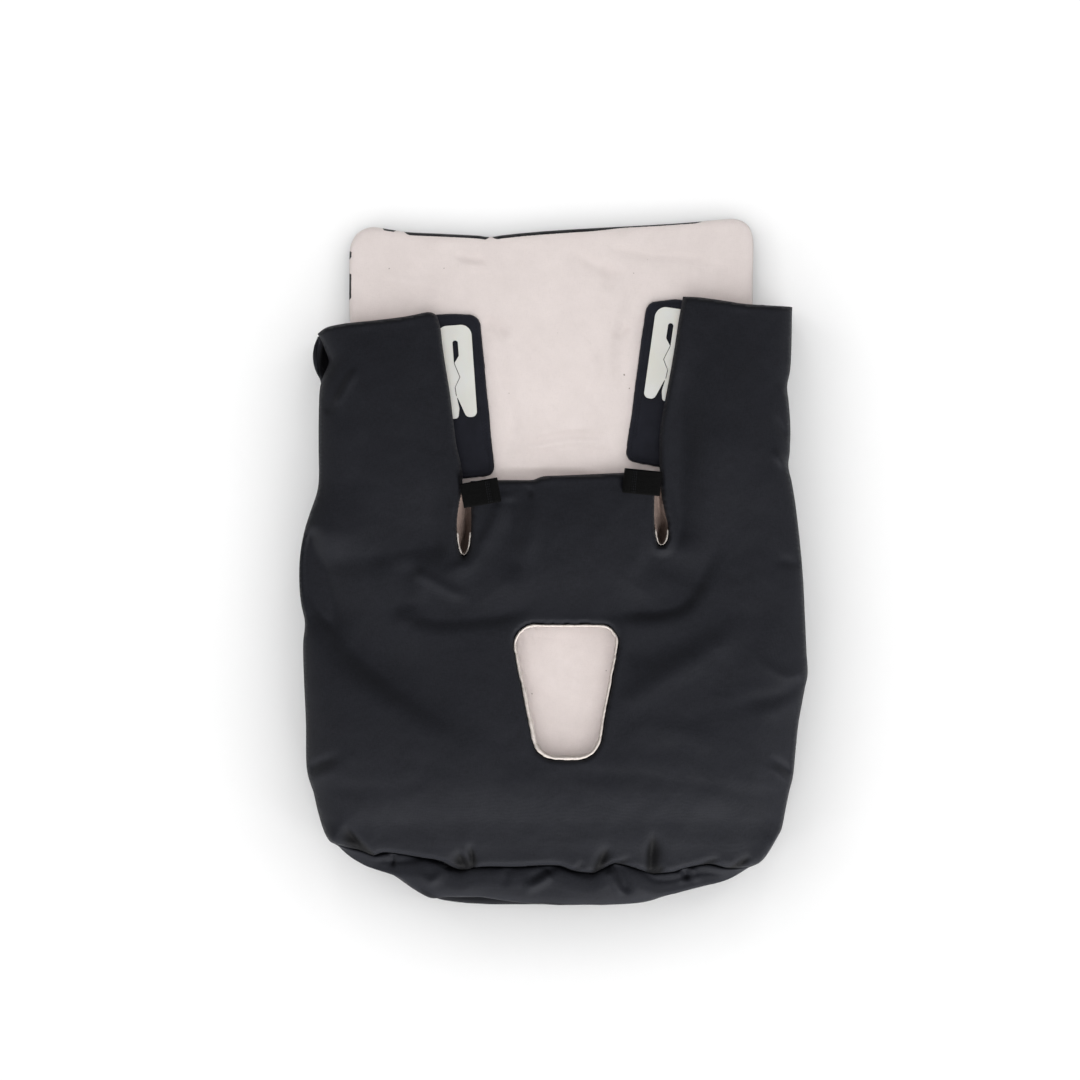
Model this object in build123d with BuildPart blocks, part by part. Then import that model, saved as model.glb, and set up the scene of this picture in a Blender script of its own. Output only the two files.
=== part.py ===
"""Padded seat footmuff lying open-side up on a flat surface, in millimetres.

X runs across the bag, Y from the foot end (-) to the head end (+), Z up from the surface that it lies on.
The bag is a padded back, a boxed gusset round the sides and foot, and a padded front cover. Above the two
harness slits the cover turns into a bib flap between two wings. A shoulder pad hangs under each wing and
carries a plastic split hook, which clips on the webbing loop at the bib's corner.
"""

import math
import os

from build123d import *

# ---- fabric and padding ----
SKIN = 1.2  # outer fabric or lining
BACK_THICKNESS = 14.0
GUSSET_THICKNESS = 12.0
FRONT_THICKNESS = 14.0
PAD_THICKNESS = 9.0

# ---- heights above the surface ----
GUSSET_BOTTOM = 0.6
FRONT_BOTTOM = 30.0
FRONT_TOP = FRONT_BOTTOM + FRONT_THICKNESS
PAD_BOTTOM = BACK_THICKNESS + 0.4

# ---- plan sizes ----
BACK_HALF_WIDTH = 205.0
BACK_TOP_LEFT = 341.0
BACK_TOP_RIGHT = 350.7
BAG_HALF_WIDTH = 257.0
WING_HALF_WIDTH = 243.0
FOOT_END = -350.0
LEFT_WING_TOP = 236.0
RIGHT_WING_TOP = 262.0
GUSSET_SEAM_Y = -250.0  # where the side gussets meet the foot gusset
OUTLINE_BEYOND = 420.0  # the footprint runs on past the wings and is cut at their tops

# ---- fold lines: lower end and upper end of each wing's fold, and the bib's fold ----
LEFT_FOLD = ((-98.0, 26.0), (-212.0, LEFT_WING_TOP))
RIGHT_FOLD = ((117.0, 34.0), (214.0, RIGHT_WING_TOP))
FLAP_FOLD_Y = 24.0
FLAP_LEFT = -83.5
FLAP_RIGHT = 103.5
FOLD_GAP = 0.5
FREE_EDGE_ROUNDING = 6.5

# ---- crotch strap opening ----
OPENING_CENTRE = (13.5, -132.5)
OPENING_TOP_WIDTH = 107.0
OPENING_BOTTOM_WIDTH = 58.0
OPENING_HEIGHT = 134.0
BINDING = 2.2

# ---- shoulder pads and hooks: centre, and how far the top leans to the left, in degrees ----
PAD_WIDTH = 55.0
PAD_LENGTH = 168.0
PAD_PLACES = {"left": ((-95.0, 169.0), 5.9), "right": ((112.3, 182.6), -8.0)}
HOOK_PLACES = {"left": ((-99.7, 215.2), 4.3), "right": ((119.5, 233.0), -8.3)}
HOOK_THICKNESS = 3.0
HOOK_HALF_WIDTH = 17.5
HOOK_TOP = 27.5  # above the slot's centre
HOOK_TIP = -67.5
SLOT_WIDTH = 5.6
SLOT_LENGTH = 24.0
SNAP_GAP = 0.7
RIVET_RADIUS = 1.4
RIVET_HEAD_RADIUS = 2.8
RIVET_HEAD_HEIGHT = 0.9
RIVET_SPOTS = ((-13.0, -28.0), (-12.6, -52.0))  # on the hook's outer leg

# ---- webbing loops ----
WEBBING_WIDTH = 25.0
WEBBING_THICKNESS = 1.3
LOOP_HEIGHT = 7.4
LOOP_LENGTH = 34.0
LOOP_PLACES = {"left": ((-72.6, 70.6), 10.0), "right": ((89.6, 81.3), -5.5)}

PARTS = "parts"
os.makedirs(PARTS, exist_ok=True)


def save(part, name):
    """Writes one finished sub-part as its own STEP file."""
    part.label = name
    export_step(part, f"{PARTS}/{name}.step")


def outline(points, radii):
    """A closed outline with rounded corners, as a sketch on the XY plane."""
    with BuildSketch() as sketch:
        with BuildLine():
            FilletPolyline(*points, radius=radii, close=True)
        make_face()
    return sketch.sketch


def grown(sketch, amount):
    """The outline moved outwards by amount, or inwards if amount is negative."""
    if amount == 0:
        return sketch
    with BuildSketch() as moved:
        add(sketch)
        offset(amount=amount, kind=Kind.INTERSECTION)
    return moved.sketch


def fold_plane(fold):
    """An upright plane beside a fold line, facing the middle of the bag."""
    (x0, y0), (x1, y1) = fold
    length = math.hypot(x1 - x0, y1 - y0)
    across = math.copysign(1, -x0)
    normal = Vector(across * (y1 - y0) / length, -across * (x1 - x0) / length, 0)
    return Plane(origin=Vector(x0, y0, 0) + normal * FOLD_GAP, x_dir=(0, 0, 1), z_dir=normal)


def along_fold(fold, y):
    """The point of a fold line, or of its extension, at the given y."""
    (x0, y0), (x1, y1) = fold
    return x0 + (x1 - x0) * (y - y0) / (y1 - y0), y


# ---- outlines in plan ----
def bag_outline():
    """The bag's footprint, run on past the wings' tops."""
    right = (
        (90, FOOT_END),
        (205, -308),
        (252, -215),
        (BAG_HALF_WIDTH, -10),
        (WING_HALF_WIDTH, 95),
        (WING_HALF_WIDTH, OUTLINE_BEYOND),
    )
    left = [(-x, y) for x, y in reversed(right)]
    radii = [150, 90, 120, 300, 300, 0]
    return outline([*right, *left], [*radii, *reversed(radii)])


def back_outline():
    """The padded back: rounded head end, narrower foot end inside the gusset."""
    points = (
        (-BACK_HALF_WIDTH, BACK_TOP_LEFT),
        (-BACK_HALF_WIDTH, -190),
        (-150, -296),
        (150, -296),
        (BACK_HALF_WIDTH, -190),
        (BACK_HALF_WIDTH, BACK_TOP_RIGHT),
    )
    return outline(points, [30, 80, 80, 80, 80, 30])


def neck_outline():
    """What is cut from the front cover for the two wings and the bib flap."""
    points = (
        (FLAP_LEFT, FLAP_FOLD_Y),
        (FLAP_RIGHT, FLAP_FOLD_Y),
        RIGHT_FOLD[0],
        along_fold(RIGHT_FOLD, OUTLINE_BEYOND),
        along_fold(LEFT_FOLD, OUTLINE_BEYOND),
        LEFT_FOLD[0],
    )
    return outline(points, 0)


def left_slit():
    """The closed lower end of the left harness slit."""
    points = ((-98, 40), (-98, 18), (-93, 7), (-87, 10), (FLAP_LEFT, 22), (FLAP_LEFT, 40))
    return outline(points, [0, 6, 3, 3, 6, 0])


def right_slit():
    """The closed lower end of the right harness slit."""
    points = ((FLAP_RIGHT, 50), (FLAP_RIGHT, 26), (108, 17), (113, 17), (117, 28), (117, 50))
    return outline(points, [0, 6, 3, 3, 6, 0])


def crotch_opening():
    """A rounded trapezium, wider at its head end."""
    x, y = OPENING_CENTRE
    top, low = y + OPENING_HEIGHT / 2, y - OPENING_HEIGHT / 2
    points = (
        (x - OPENING_TOP_WIDTH / 2, top),
        (x - OPENING_BOTTOM_WIDTH / 2, low),
        (x + OPENING_BOTTOM_WIDTH / 2, low),
        (x + OPENING_TOP_WIDTH / 2, top),
    )
    return outline(points, [16, 20, 20, 16])


def flap_outline():
    """The bib, with its neckline rising a little to the right; it runs on past the fold."""
    points = (
        (FLAP_LEFT, FLAP_FOLD_Y - 30),
        (FLAP_RIGHT, FLAP_FOLD_Y - 30),
        (104, 91),
        (72, 91),
        (-8, 88),
        (-20, 84),
        (-84, 83),
    )
    return outline(points, [8, 8, 8, 40, 10, 10, 8])


def left_wing_outline():
    """The left wing, which runs on past its fold."""
    points = (
        (-98.2, -14),
        (-97.8, 45),
        (-92.6, 84),
        (-98, 116),
        (-105, 175),
        (-118, 255),
        (-250, 229),
        (-250, -14),
    )
    return outline(points, [8, 40, 30, 60, 200, 9, 8, 8])


def right_wing_outline():
    """The right wing, which runs on past its fold."""
    points = (
        (117.6, -14),
        (115, 62),
        (109, 92),
        (109, 122),
        (116, 175),
        (133, 271),
        (250, 258),
        (250, -14),
    )
    return outline(points, [8, 40, 30, 60, 200, 9, 8, 8])


def pad_outline():
    with BuildSketch() as sketch:
        RectangleRounded(PAD_WIDTH, PAD_LENGTH, 8)
    return sketch.sketch


# ---- padded panels: two fabric trays that meet half way up, and the wadding between them ----
def slab(sketch, bottom, top, rounding=0.0, fold=None):
    """A prism on the outline with rounded rims, cut off square beyond the fold plane."""
    with BuildPart() as block:
        with BuildSketch(Plane.XY.offset(bottom)):
            add(sketch)
        extrude(amount=top - bottom)
        if rounding > 0:
            rims = block.faces().filter_by(Axis.Z).edges()
            fillet(rims, rounding)
        if fold is not None:
            split(bisect_by=fold, keep=Keep.TOP)
    return block.part


def padded_panel(sketch, bottom, thickness, rounding, fold=None):
    """The outer fabric, wadding and lining of one panel, outer fabric uppermost."""
    top = bottom + thickness
    inner_fold = None if fold is None else fold.offset(SKIN)
    inner = slab(grown(sketch, -SKIN), bottom + SKIN, top - SKIN, rounding - SKIN, inner_fold)
    with BuildPart() as wadding:
        add(inner)
    with BuildPart() as casing:
        add(slab(sketch, bottom, top, rounding, fold))
        add(inner, mode=Mode.SUBTRACT)
    seam = Plane.XY.offset(bottom + thickness / 2)
    with BuildPart() as upper:
        add(casing.part)
        split(bisect_by=seam, keep=Keep.TOP)
    with BuildPart() as lower:
        add(casing.part)
        split(bisect_by=seam, keep=Keep.BOTTOM)
    return upper.part, wadding.part, lower.part


# ---- back: the lining faces up, into the bag ----
back_lining, back_wadding, back_outer = padded_panel(back_outline(), 0, BACK_THICKNESS, 4)
save(back_lining, "back_lining")
save(back_wadding, "back_wadding")
save(back_outer, "back_outer_fabric")


# ---- gusset: nested bowls round the back, cut into two sides and a foot ----
BAG = bag_outline()
BACK_BLOCK = slab(back_outline(), -1, BACK_THICKNESS + 1)
GUSSET_ROUNDING = 14.0


def bowl(inset):
    """The bag's volume below the front cover, moved in from the outside by inset."""
    with BuildPart() as block:
        with BuildSketch(Plane.XY.offset(GUSSET_BOTTOM + inset)):
            add(grown(BAG, -inset))
        extrude(until=None, amount=FRONT_BOTTOM - GUSSET_BOTTOM - inset)
        fillet(block.edges().group_by(Axis.Z)[0], GUSSET_ROUNDING - inset)
    return block.part


def gusset_layer(outer_inset, inner_inset):
    """One layer of the whole gusset, clear of the back panel."""
    with BuildPart() as layer:
        add(bowl(outer_inset))
        add(bowl(inner_inset), mode=Mode.SUBTRACT)
        add(BACK_BLOCK, mode=Mode.SUBTRACT)
    return layer.part


def gusset_piece(layer, side):
    """The left, right or foot stretch of a gusset layer."""
    reach = 2 * OUTLINE_BEYOND
    low, high = {
        "left": ((-reach, GUSSET_SEAM_Y), (0, LEFT_WING_TOP - 2)),
        "right": ((0, GUSSET_SEAM_Y), (reach, RIGHT_WING_TOP - 2)),
        "foot": ((-reach, -reach), (reach, GUSSET_SEAM_Y)),
    }[side]
    with BuildPart() as piece:
        add(layer)
        with BuildSketch(Plane.XY):
            with Locations(((low[0] + high[0]) / 2, (low[1] + high[1]) / 2)):
                Rectangle(high[0] - low[0], high[1] - low[1])
        extrude(amount=FRONT_TOP, mode=Mode.INTERSECT)
    return piece.part


GUSSET_LAYERS = {
    "outer_fabric": (0, SKIN),
    "wadding": (SKIN, GUSSET_THICKNESS - SKIN),
    "lining": (GUSSET_THICKNESS - SKIN, GUSSET_THICKNESS),
}
for layer_name, insets in GUSSET_LAYERS.items():
    whole_layer = gusset_layer(*insets)
    for side in ("left", "right", "foot"):
        save(gusset_piece(whole_layer, side), f"{side}_gusset_{layer_name}")


# ---- front cover: the fixed part, with the neck, slits and crotch opening cut out ----
COVER_ROUNDING = 12.0


def cover_block(inset):
    """The front cover's volume moved in from its surface by inset, with every cut-out grown to match."""
    with BuildPart() as block:
        with BuildSketch(Plane.XY.offset(FRONT_BOTTOM + inset)):
            add(grown(BAG, -inset))
        extrude(amount=FRONT_THICKNESS - 2 * inset)
        fillet(block.edges().group_by(Axis.Z)[-1], COVER_ROUNDING - inset)
        with BuildSketch(Plane.XY.offset(FRONT_BOTTOM)):
            add(grown(neck_outline(), inset))
        extrude(amount=FRONT_THICKNESS, mode=Mode.SUBTRACT)
        for cut in (left_slit(), right_slit()):
            with BuildSketch(Plane.XY.offset(FRONT_BOTTOM)):
                add(grown(cut, inset + BINDING / 2))
            extrude(amount=FRONT_THICKNESS, mode=Mode.SUBTRACT)
        with BuildSketch(Plane.XY.offset(FRONT_BOTTOM)):
            add(grown(crotch_opening(), inset + BINDING))
        extrude(amount=FRONT_THICKNESS, mode=Mode.SUBTRACT)
        for fold, top in ((LEFT_FOLD, LEFT_WING_TOP), (RIGHT_FOLD, RIGHT_WING_TOP)):
            side = math.copysign(1, fold[0][0])
            with BuildSketch(Plane.XY.offset(FRONT_BOTTOM)):
                with Locations((side * BAG_HALF_WIDTH, top - inset)):
                    Rectangle(BAG_HALF_WIDTH * 2, OUTLINE_BEYOND, align=(Align.CENTER, Align.MIN))
            extrude(amount=FRONT_THICKNESS, mode=Mode.SUBTRACT)
    return block.part


cover_inner = cover_block(SKIN)
with BuildPart() as cover_casing:
    add(cover_block(0))
    add(cover_inner, mode=Mode.SUBTRACT)
COVER_SEAM = Plane.XY.offset(FRONT_BOTTOM + SKIN)
with BuildPart() as cover_outer:
    add(cover_casing.part)
    split(bisect_by=COVER_SEAM, keep=Keep.TOP)
with BuildPart() as cover_lining:
    add(cover_casing.part)
    split(bisect_by=COVER_SEAM, keep=Keep.BOTTOM)
save(cover_outer.part, "front_cover_outer_fabric")
save(cover_inner, "front_cover_wadding")
save(cover_lining.part, "front_cover_lining")


# ---- bindings: the lining turned out round the crotch opening and the slits' lower ends ----
def binding(sketch, width, keep_below=None):
    """A rim of turned lining round a cut-out, through the cover's whole thickness."""
    with BuildPart() as rim:
        with BuildSketch(Plane.XY.offset(FRONT_BOTTOM)):
            add(grown(sketch, width))
            add(sketch, mode=Mode.SUBTRACT)
        extrude(amount=FRONT_THICKNESS)
        if keep_below is not None:
            split(bisect_by=Plane.XZ.offset(-keep_below), keep=Keep.TOP)
    return rim.part


save(binding(crotch_opening(), BINDING), "crotch_opening_binding")
save(binding(left_slit(), BINDING / 2, FLAP_FOLD_Y), "left_slit_binding")
save(binding(right_slit(), BINDING / 2, FLAP_FOLD_Y), "right_slit_binding")

# ---- gathering tape inside the foot seam ----
TAPE_WIDTH = 8.0
TAPE_THICKNESS = 1.0
TAPE_INSET = GUSSET_THICKNESS + 0.5
with BuildPart() as foot_tape:
    with BuildSketch(Plane.XY.offset(FRONT_BOTTOM - TAPE_THICKNESS)):
        add(grown(BAG, -TAPE_INSET))
        add(grown(BAG, -TAPE_INSET - TAPE_WIDTH), mode=Mode.SUBTRACT)
        with Locations((0, FOOT_END)):
            Rectangle(
                2 * BAG_HALF_WIDTH,
                2 * (GUSSET_SEAM_Y - FOOT_END),
                mode=Mode.INTERSECT,
            )
    extrude(amount=TAPE_THICKNESS)
save(foot_tape.part, "foot_seam_gathering_tape")

# ---- bib flap and wings ----
FLAP_FOLD = Plane(origin=(0, FLAP_FOLD_Y + FOLD_GAP, 0), x_dir=(1, 0, 0), z_dir=(0, 1, 0))
MOVING_PANELS = {
    "front_flap": (flap_outline(), FLAP_FOLD),
    "left_wing": (left_wing_outline(), fold_plane(LEFT_FOLD)),
    "right_wing": (right_wing_outline(), fold_plane(RIGHT_FOLD)),
}
for panel_name, (panel_sketch, panel_fold) in MOVING_PANELS.items():
    outer, wadding, lining = padded_panel(
        panel_sketch, FRONT_BOTTOM, FRONT_THICKNESS, FREE_EDGE_ROUNDING, panel_fold
    )
    save(outer, f"{panel_name}_outer_fabric")
    save(wadding, f"{panel_name}_wadding")
    save(lining, f"{panel_name}_lining")


# ---- shoulder pads, split hooks and their rivets ----
def placed(place, z):
    """A work plane at a place (centre and lean in degrees) and a height."""
    (x, y), lean = place
    return Plane(origin=(x, y, z)).rotated((0, 0, lean))


def hook_outline(inner):
    """The plate's outline; inner is +1 where the middle of the bag lies towards +X."""
    points = (
        (-HOOK_HALF_WIDTH, HOOK_TOP),
        (HOOK_HALF_WIDTH, HOOK_TOP),
        (HOOK_HALF_WIDTH - 0.5, HOOK_TIP),
        (6, HOOK_TIP),
        (-2.8, -43.5),
        (-0.6, -58),
        (-2.5, HOOK_TIP - 0.5),
        (2 - HOOK_HALF_WIDTH, HOOK_TIP - 0.5),
        (-HOOK_HALF_WIDTH, -40),
    )
    radii = [10, 11, 5.5, 5.5, 0.4, 8, 3.5, 6, 30]
    return outline([(inner * u, v) for u, v in points], radii)


def hook_slot(inner):
    """The webbing slot, with a round top and a slanting foot that leads into the snap gap."""
    half = SLOT_WIDTH / 2
    low = -SLOT_LENGTH / 2
    points = ((-half, -low), (half, -low), (half, low + 8), (-half, low))
    return outline([(inner * u, v) for u, v in points], [2.7, 2.7, 2, 0.3])


def hook_snap_gap(inner):
    """The narrow zigzag between the legs: the outer leg's tooth sits in the inner leg's notch."""
    line = ((-2.6, -11), (2.3, -26), (-3.4, -36), (-2.8, -45))
    right = [(u + SNAP_GAP / 2, v) for u, v in line]
    left = [(u - SNAP_GAP / 2, v) for u, v in reversed(line)]
    return outline([(inner * u, v) for u, v in [*right, *left]], 0)


HOOK_BOTTOM = PAD_BOTTOM + PAD_THICKNESS + 0.1
HOOK_FACE = HOOK_BOTTOM + HOOK_THICKNESS
PAD_FACE = PAD_BOTTOM + PAD_THICKNESS
WASHER_RADIUS = 3.0
WASHER_THICKNESS = 0.8


def rivet_spots(side, inner):
    """Where a hook's rivets stand, in the row frame."""
    plane = placed(HOOK_PLACES[side], 0)
    return [plane.from_local_coords(Vector(inner * u, v, 0)) for u, v in RIVET_SPOTS]


def rivet(x, y):
    """A tubular rivet: domed head on the hook, shank, and washer under the pad's cover."""
    washer_bottom = PAD_FACE - SKIN - WASHER_THICKNESS
    with BuildPart() as stud:
        with BuildSketch(Plane((x, y, washer_bottom))):
            Circle(WASHER_RADIUS)
        extrude(amount=WASHER_THICKNESS)
        with BuildSketch(Plane((x, y, washer_bottom))):
            Circle(RIVET_RADIUS)
        extrude(amount=HOOK_FACE - washer_bottom)
        with BuildSketch(Plane((x, y, HOOK_FACE))):
            Circle(RIVET_HEAD_RADIUS)
        extrude(amount=RIVET_HEAD_HEIGHT)
        fillet(stud.edges().group_by(Axis.Z)[-1], RIVET_HEAD_HEIGHT * 0.7)
    return stud.part


def drilled(part, spots, radius, bottom, top):
    """The part with a round hole at each spot between two heights."""
    with BuildPart() as block:
        add(part)
        for spot in spots:
            with BuildSketch(Plane((spot.X, spot.Y, bottom))):
                Circle(radius)
            extrude(amount=top - bottom, mode=Mode.SUBTRACT)
    return block.part


def shoulder_pad(side, spots):
    """The three layers of one shoulder pad, with room for the rivets."""
    turn = placed(PAD_PLACES[side], 0)
    with BuildSketch() as flat:
        add(turn.from_local_coords(pad_outline()))
    cover, foam, backing = padded_panel(flat.sketch, PAD_BOTTOM, PAD_THICKNESS, 3)
    cover = drilled(cover, spots, RIVET_RADIUS, PAD_FACE - 2 * SKIN, PAD_FACE + 1)
    pocket_bottom = PAD_FACE - SKIN - WASHER_THICKNESS
    foam = drilled(foam, spots, WASHER_RADIUS, pocket_bottom, PAD_FACE)
    save(cover, f"{side}_shoulder_pad_cover")
    save(foam, f"{side}_shoulder_pad_foam")
    save(backing, f"{side}_shoulder_pad_backing")


def split_hook(side, inner):
    """One moulded hook: a plate with a slot, a snap gap and a V mouth."""
    with BuildPart() as hook:
        with BuildSketch(placed(HOOK_PLACES[side], HOOK_BOTTOM)):
            add(hook_outline(inner))
            add(hook_slot(inner), mode=Mode.SUBTRACT)
            add(hook_snap_gap(inner), mode=Mode.SUBTRACT)
            with Locations(*[(inner * u, v) for u, v in RIVET_SPOTS]):
                Circle(RIVET_RADIUS, mode=Mode.SUBTRACT)
        extrude(amount=HOOK_THICKNESS)
    save(hook.part, f"{side}_split_hook")


def hook_rivets(side, spots):
    with BuildPart() as pair:
        for spot in spots:
            add(rivet(spot.X, spot.Y))
    save(pair.part, f"{side}_hook_rivets")


# ---- webbing loops sewn in the bib's side seams ----
LOOP_BOTTOM = FRONT_TOP + 0.3
BARTACK_LENGTH = 2.0
BARTACK_HEIGHT = 0.6


def webbing_loop(side, inner):
    """A flattened ring of webbing lying on the bib, open along Y, with its bar tack at the sewn end."""
    (x, y), lean = LOOP_PLACES[side]
    along = Vector(math.cos(math.radians(lean)), math.sin(math.radians(lean)), 0)
    across = Vector(along.Y, -along.X, 0)
    profile = Plane(origin=(x, y, LOOP_BOTTOM + LOOP_HEIGHT / 2), x_dir=along, z_dir=across)
    with BuildPart() as loop:
        with BuildSketch(profile):
            SlotOverall(LOOP_LENGTH, LOOP_HEIGHT)
            SlotOverall(
                LOOP_LENGTH - 2 * WEBBING_THICKNESS,
                LOOP_HEIGHT - 2 * WEBBING_THICKNESS,
                mode=Mode.SUBTRACT,
            )
        extrude(amount=WEBBING_WIDTH / 2, both=True)
    save(loop.part, f"{side}_webbing_loop")
    with BuildPart() as tack:
        with BuildSketch(placed(LOOP_PLACES[side], LOOP_BOTTOM + WEBBING_THICKNESS)):
            with Locations((-inner * (LOOP_LENGTH / 2 - LOOP_HEIGHT / 2 - 1), 0)):
                Rectangle(BARTACK_LENGTH, WEBBING_WIDTH - 5)
        extrude(amount=BARTACK_HEIGHT)
    save(tack.part, f"{side}_loop_bar_tack")


for side_name, inner_sign in (("left", 1), ("right", -1)):
    hook_spots = rivet_spots(side_name, inner_sign)
    shoulder_pad(side_name, hook_spots)
    split_hook(side_name, inner_sign)
    hook_rivets(side_name, hook_spots)
    webbing_loop(side_name, inner_sign)
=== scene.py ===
import math

import bpy
import numpy as np
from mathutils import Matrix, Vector, noise
from mathutils.geometry import delaunay_2d_cdt


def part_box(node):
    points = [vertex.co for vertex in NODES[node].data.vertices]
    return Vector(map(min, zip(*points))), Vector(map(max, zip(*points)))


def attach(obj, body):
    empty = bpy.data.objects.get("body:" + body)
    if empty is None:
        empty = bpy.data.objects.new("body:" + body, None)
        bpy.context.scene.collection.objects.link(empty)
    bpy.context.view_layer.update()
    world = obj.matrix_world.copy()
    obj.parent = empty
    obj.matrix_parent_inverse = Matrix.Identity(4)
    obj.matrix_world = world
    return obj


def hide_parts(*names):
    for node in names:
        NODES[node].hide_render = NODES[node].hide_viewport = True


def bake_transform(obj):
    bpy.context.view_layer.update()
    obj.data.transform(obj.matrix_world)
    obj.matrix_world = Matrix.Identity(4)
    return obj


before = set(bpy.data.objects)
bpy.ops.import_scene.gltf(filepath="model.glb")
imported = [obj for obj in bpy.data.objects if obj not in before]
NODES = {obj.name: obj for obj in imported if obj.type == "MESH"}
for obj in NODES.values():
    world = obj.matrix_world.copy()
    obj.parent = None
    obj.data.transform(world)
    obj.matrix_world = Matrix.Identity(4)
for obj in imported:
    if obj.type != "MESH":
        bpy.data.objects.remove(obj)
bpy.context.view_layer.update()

MM = 0.001  # everything below is worked out in millimetres and built in metres
FINE = 2.6  # spacing of the points on a visible face
COARSE = 8.0  # spacing on a face that is mostly hidden
OCTAVES = 3  # how many sizes of ripple are added up


# ------------------------------------------------------ lines in plan
def spline(points, spacing=FINE, closed=False):
    """Evenly spaced points on a smooth curve through the given ones.
    A third value of 1 marks a sharp corner."""
    pts = np.array([p[:2] for p in points], float)
    sharp = [len(p) > 2 and p[2] == 1 for p in points]
    n = len(pts)
    if not closed:
        sharp[0] = sharp[-1] = True
    out = []
    spans = n if closed else n - 1
    for i in range(spans):
        a, b = pts[i], pts[(i + 1) % n]
        before = a if sharp[i] else pts[i - 1]
        after = b if sharp[(i + 1) % n] else pts[(i + 2) % n]
        size = np.linalg.norm(b - a)
        ta = (b - before) / max(np.linalg.norm(b - before), 1e-9) * size
        tb = (after - a) / max(np.linalg.norm(after - a), 1e-9) * size
        t = np.linspace(0, 1, 24, endpoint=False)[:, None]
        out.append(
            a * (2 * t**3 - 3 * t**2 + 1) + ta * (t**3 - 2 * t**2 + t)
            + b * (3 * t**2 - 2 * t**3) + tb * (t**3 - t**2)
        )
    line = np.vstack(out + ([] if closed else [pts[-1:]]))
    return resample(line, spacing, closed)


def resample(line, spacing, closed=False):
    ring = np.vstack([line, line[:1]]) if closed else line
    along = np.concatenate([[0], np.cumsum(lengths_of(np.diff(ring, axis=0)))])
    count = max(2, int(round(along[-1] / spacing)) + 1)
    at = np.linspace(0, along[-1], count)
    if closed:
        at = at[:-1]
    return np.stack([np.interp(at, along, ring[:, k]) for k in range(ring.shape[1])], axis=1)


def rounded(corners, spacing=FINE):
    """A closed polygon with corner radii: each corner is (x, y, radius)."""
    out = []
    n = len(corners)
    for i, (x, y, r) in enumerate(corners):
        p = np.array([x, y], float)
        a = np.array(corners[i - 1][:2], float) - p
        b = np.array(corners[(i + 1) % n][:2], float) - p
        a /= np.linalg.norm(a)
        b /= np.linalg.norm(b)
        half = math.acos(float(np.clip(a @ b, -1, 1))) / 2
        reach = r / math.tan(half)
        middle = p + (a + b) / np.linalg.norm(a + b) * r / math.sin(half)
        s, e = p + a * reach, p + b * reach
        for k in range(9):
            q = s * (1 - k / 8) + e * k / 8 - middle
            out.append(middle + q / max(np.linalg.norm(q), 1e-9) * r)
    return resample(np.array(out), spacing, True)


def to_line(points, line, closed=False):
    """Distance from each point to a line, how far along it (0 to 1), and on which side (+1 is left)."""
    ring = np.vstack([line, line[:1]]) if closed else line
    best = np.full(len(points), 1e9)
    where = np.zeros(len(points))
    side = np.ones(len(points))
    lengths = lengths_of(np.diff(ring, axis=0))
    total, run = lengths.sum(), 0.0
    for a, b, size in zip(ring[:-1], ring[1:], lengths):
        if size < 1e-9:
            continue
        d = (b - a) / size
        rel = points - a
        t = np.clip(rel @ d, 0, size)
        dist = lengths_of(rel - t[:, None] * d)
        near = dist < best
        best[near] = dist[near]
        where[near] = (run + t[near]) / total
        side[near] = np.where(d[0] * rel[near, 1] - d[1] * rel[near, 0] >= 0, 1, -1)
        run += size
    return best, where, side


def inside(points, polygon):
    """True for each point inside a closed polygon."""
    x, y = points[:, 0], points[:, 1]
    odd = np.zeros(len(points), bool)
    for (x0, y0), (x1, y1) in zip(polygon, np.roll(polygon, -1, axis=0)):
        if y0 == y1:
            continue
        cross = (y0 > y) != (y1 > y)
        odd ^= cross & (x < (x1 - x0) * (y - y0) / (y1 - y0) + x0)
    return odd


def smooth(t):
    t = np.clip(t, 0, 1)
    return t * t * (3 - 2 * t)


def lengths_of(vectors):
    return np.linalg.norm(vectors, axis=1)


def directions(line, closed=True):
    """The unit direction of a line at each of its points."""
    step = np.roll(line, -1, axis=0) - np.roll(line, 1, axis=0)
    if not closed:
        step[0], step[-1] = line[1] - line[0], line[-1] - line[-2]
    return step / np.maximum(lengths_of(step), 1e-9)[:, None]


def shifted(line, target, distance):
    """A line's points moved a distance towards a target point, or away from it."""
    away = target - line
    return line + away / lengths_of(away)[:, None] * distance


def dome(distance, reach, power=2.0):
    """0 at an edge, 1 at reach inside it, with a round shoulder: the higher the power, the tighter."""
    t = np.clip(distance / reach, 0, 1)
    return np.clip(1 - (1 - t) ** power, 0, 1) ** (1 / power)


def ripple(points, scale, seed):
    """Smooth noise, about -1 to 1, at points in millimetres."""
    places = [(p[0] / scale + seed * 7.3, p[1] / scale - seed * 3.1, seed * 5.7) for p in points]
    return np.array([noise.fractal(Vector(p), 1.0, 2.0, OCTAVES) for p in places])


def crease(points, line, left, right, depth, fade=(0.25, 0.25), power=2.0):
    """A valley (depth below 0) or ridge along a line, left and right millimetres wide, fading at its ends."""
    path = spline(line, 4.0)
    out = np.zeros(len(points))
    reach = 2.8 * max(left, right)
    near = np.all((points > path.min(0) - reach) & (points < path.max(0) + reach), axis=1)
    if not near.any():
        return out
    d, s, side = to_line(points[near], path)
    width = np.where(side > 0, left, right)
    ends = np.ones(len(d))
    if fade[0] > 0:
        ends *= smooth(s / fade[0])
    if fade[1] > 0:
        ends *= smooth((1 - s) / fade[1])
    out[near] = depth * ends * np.exp(-((d / width) ** power))
    return out


def creases(points, table, power=2.0):
    """All the creases of a table, added up."""
    total = np.zeros(len(points))
    for line, left, right, depth, fade in table:
        total += crease(points, line, left, right, depth, fade, power)
    return total


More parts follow.
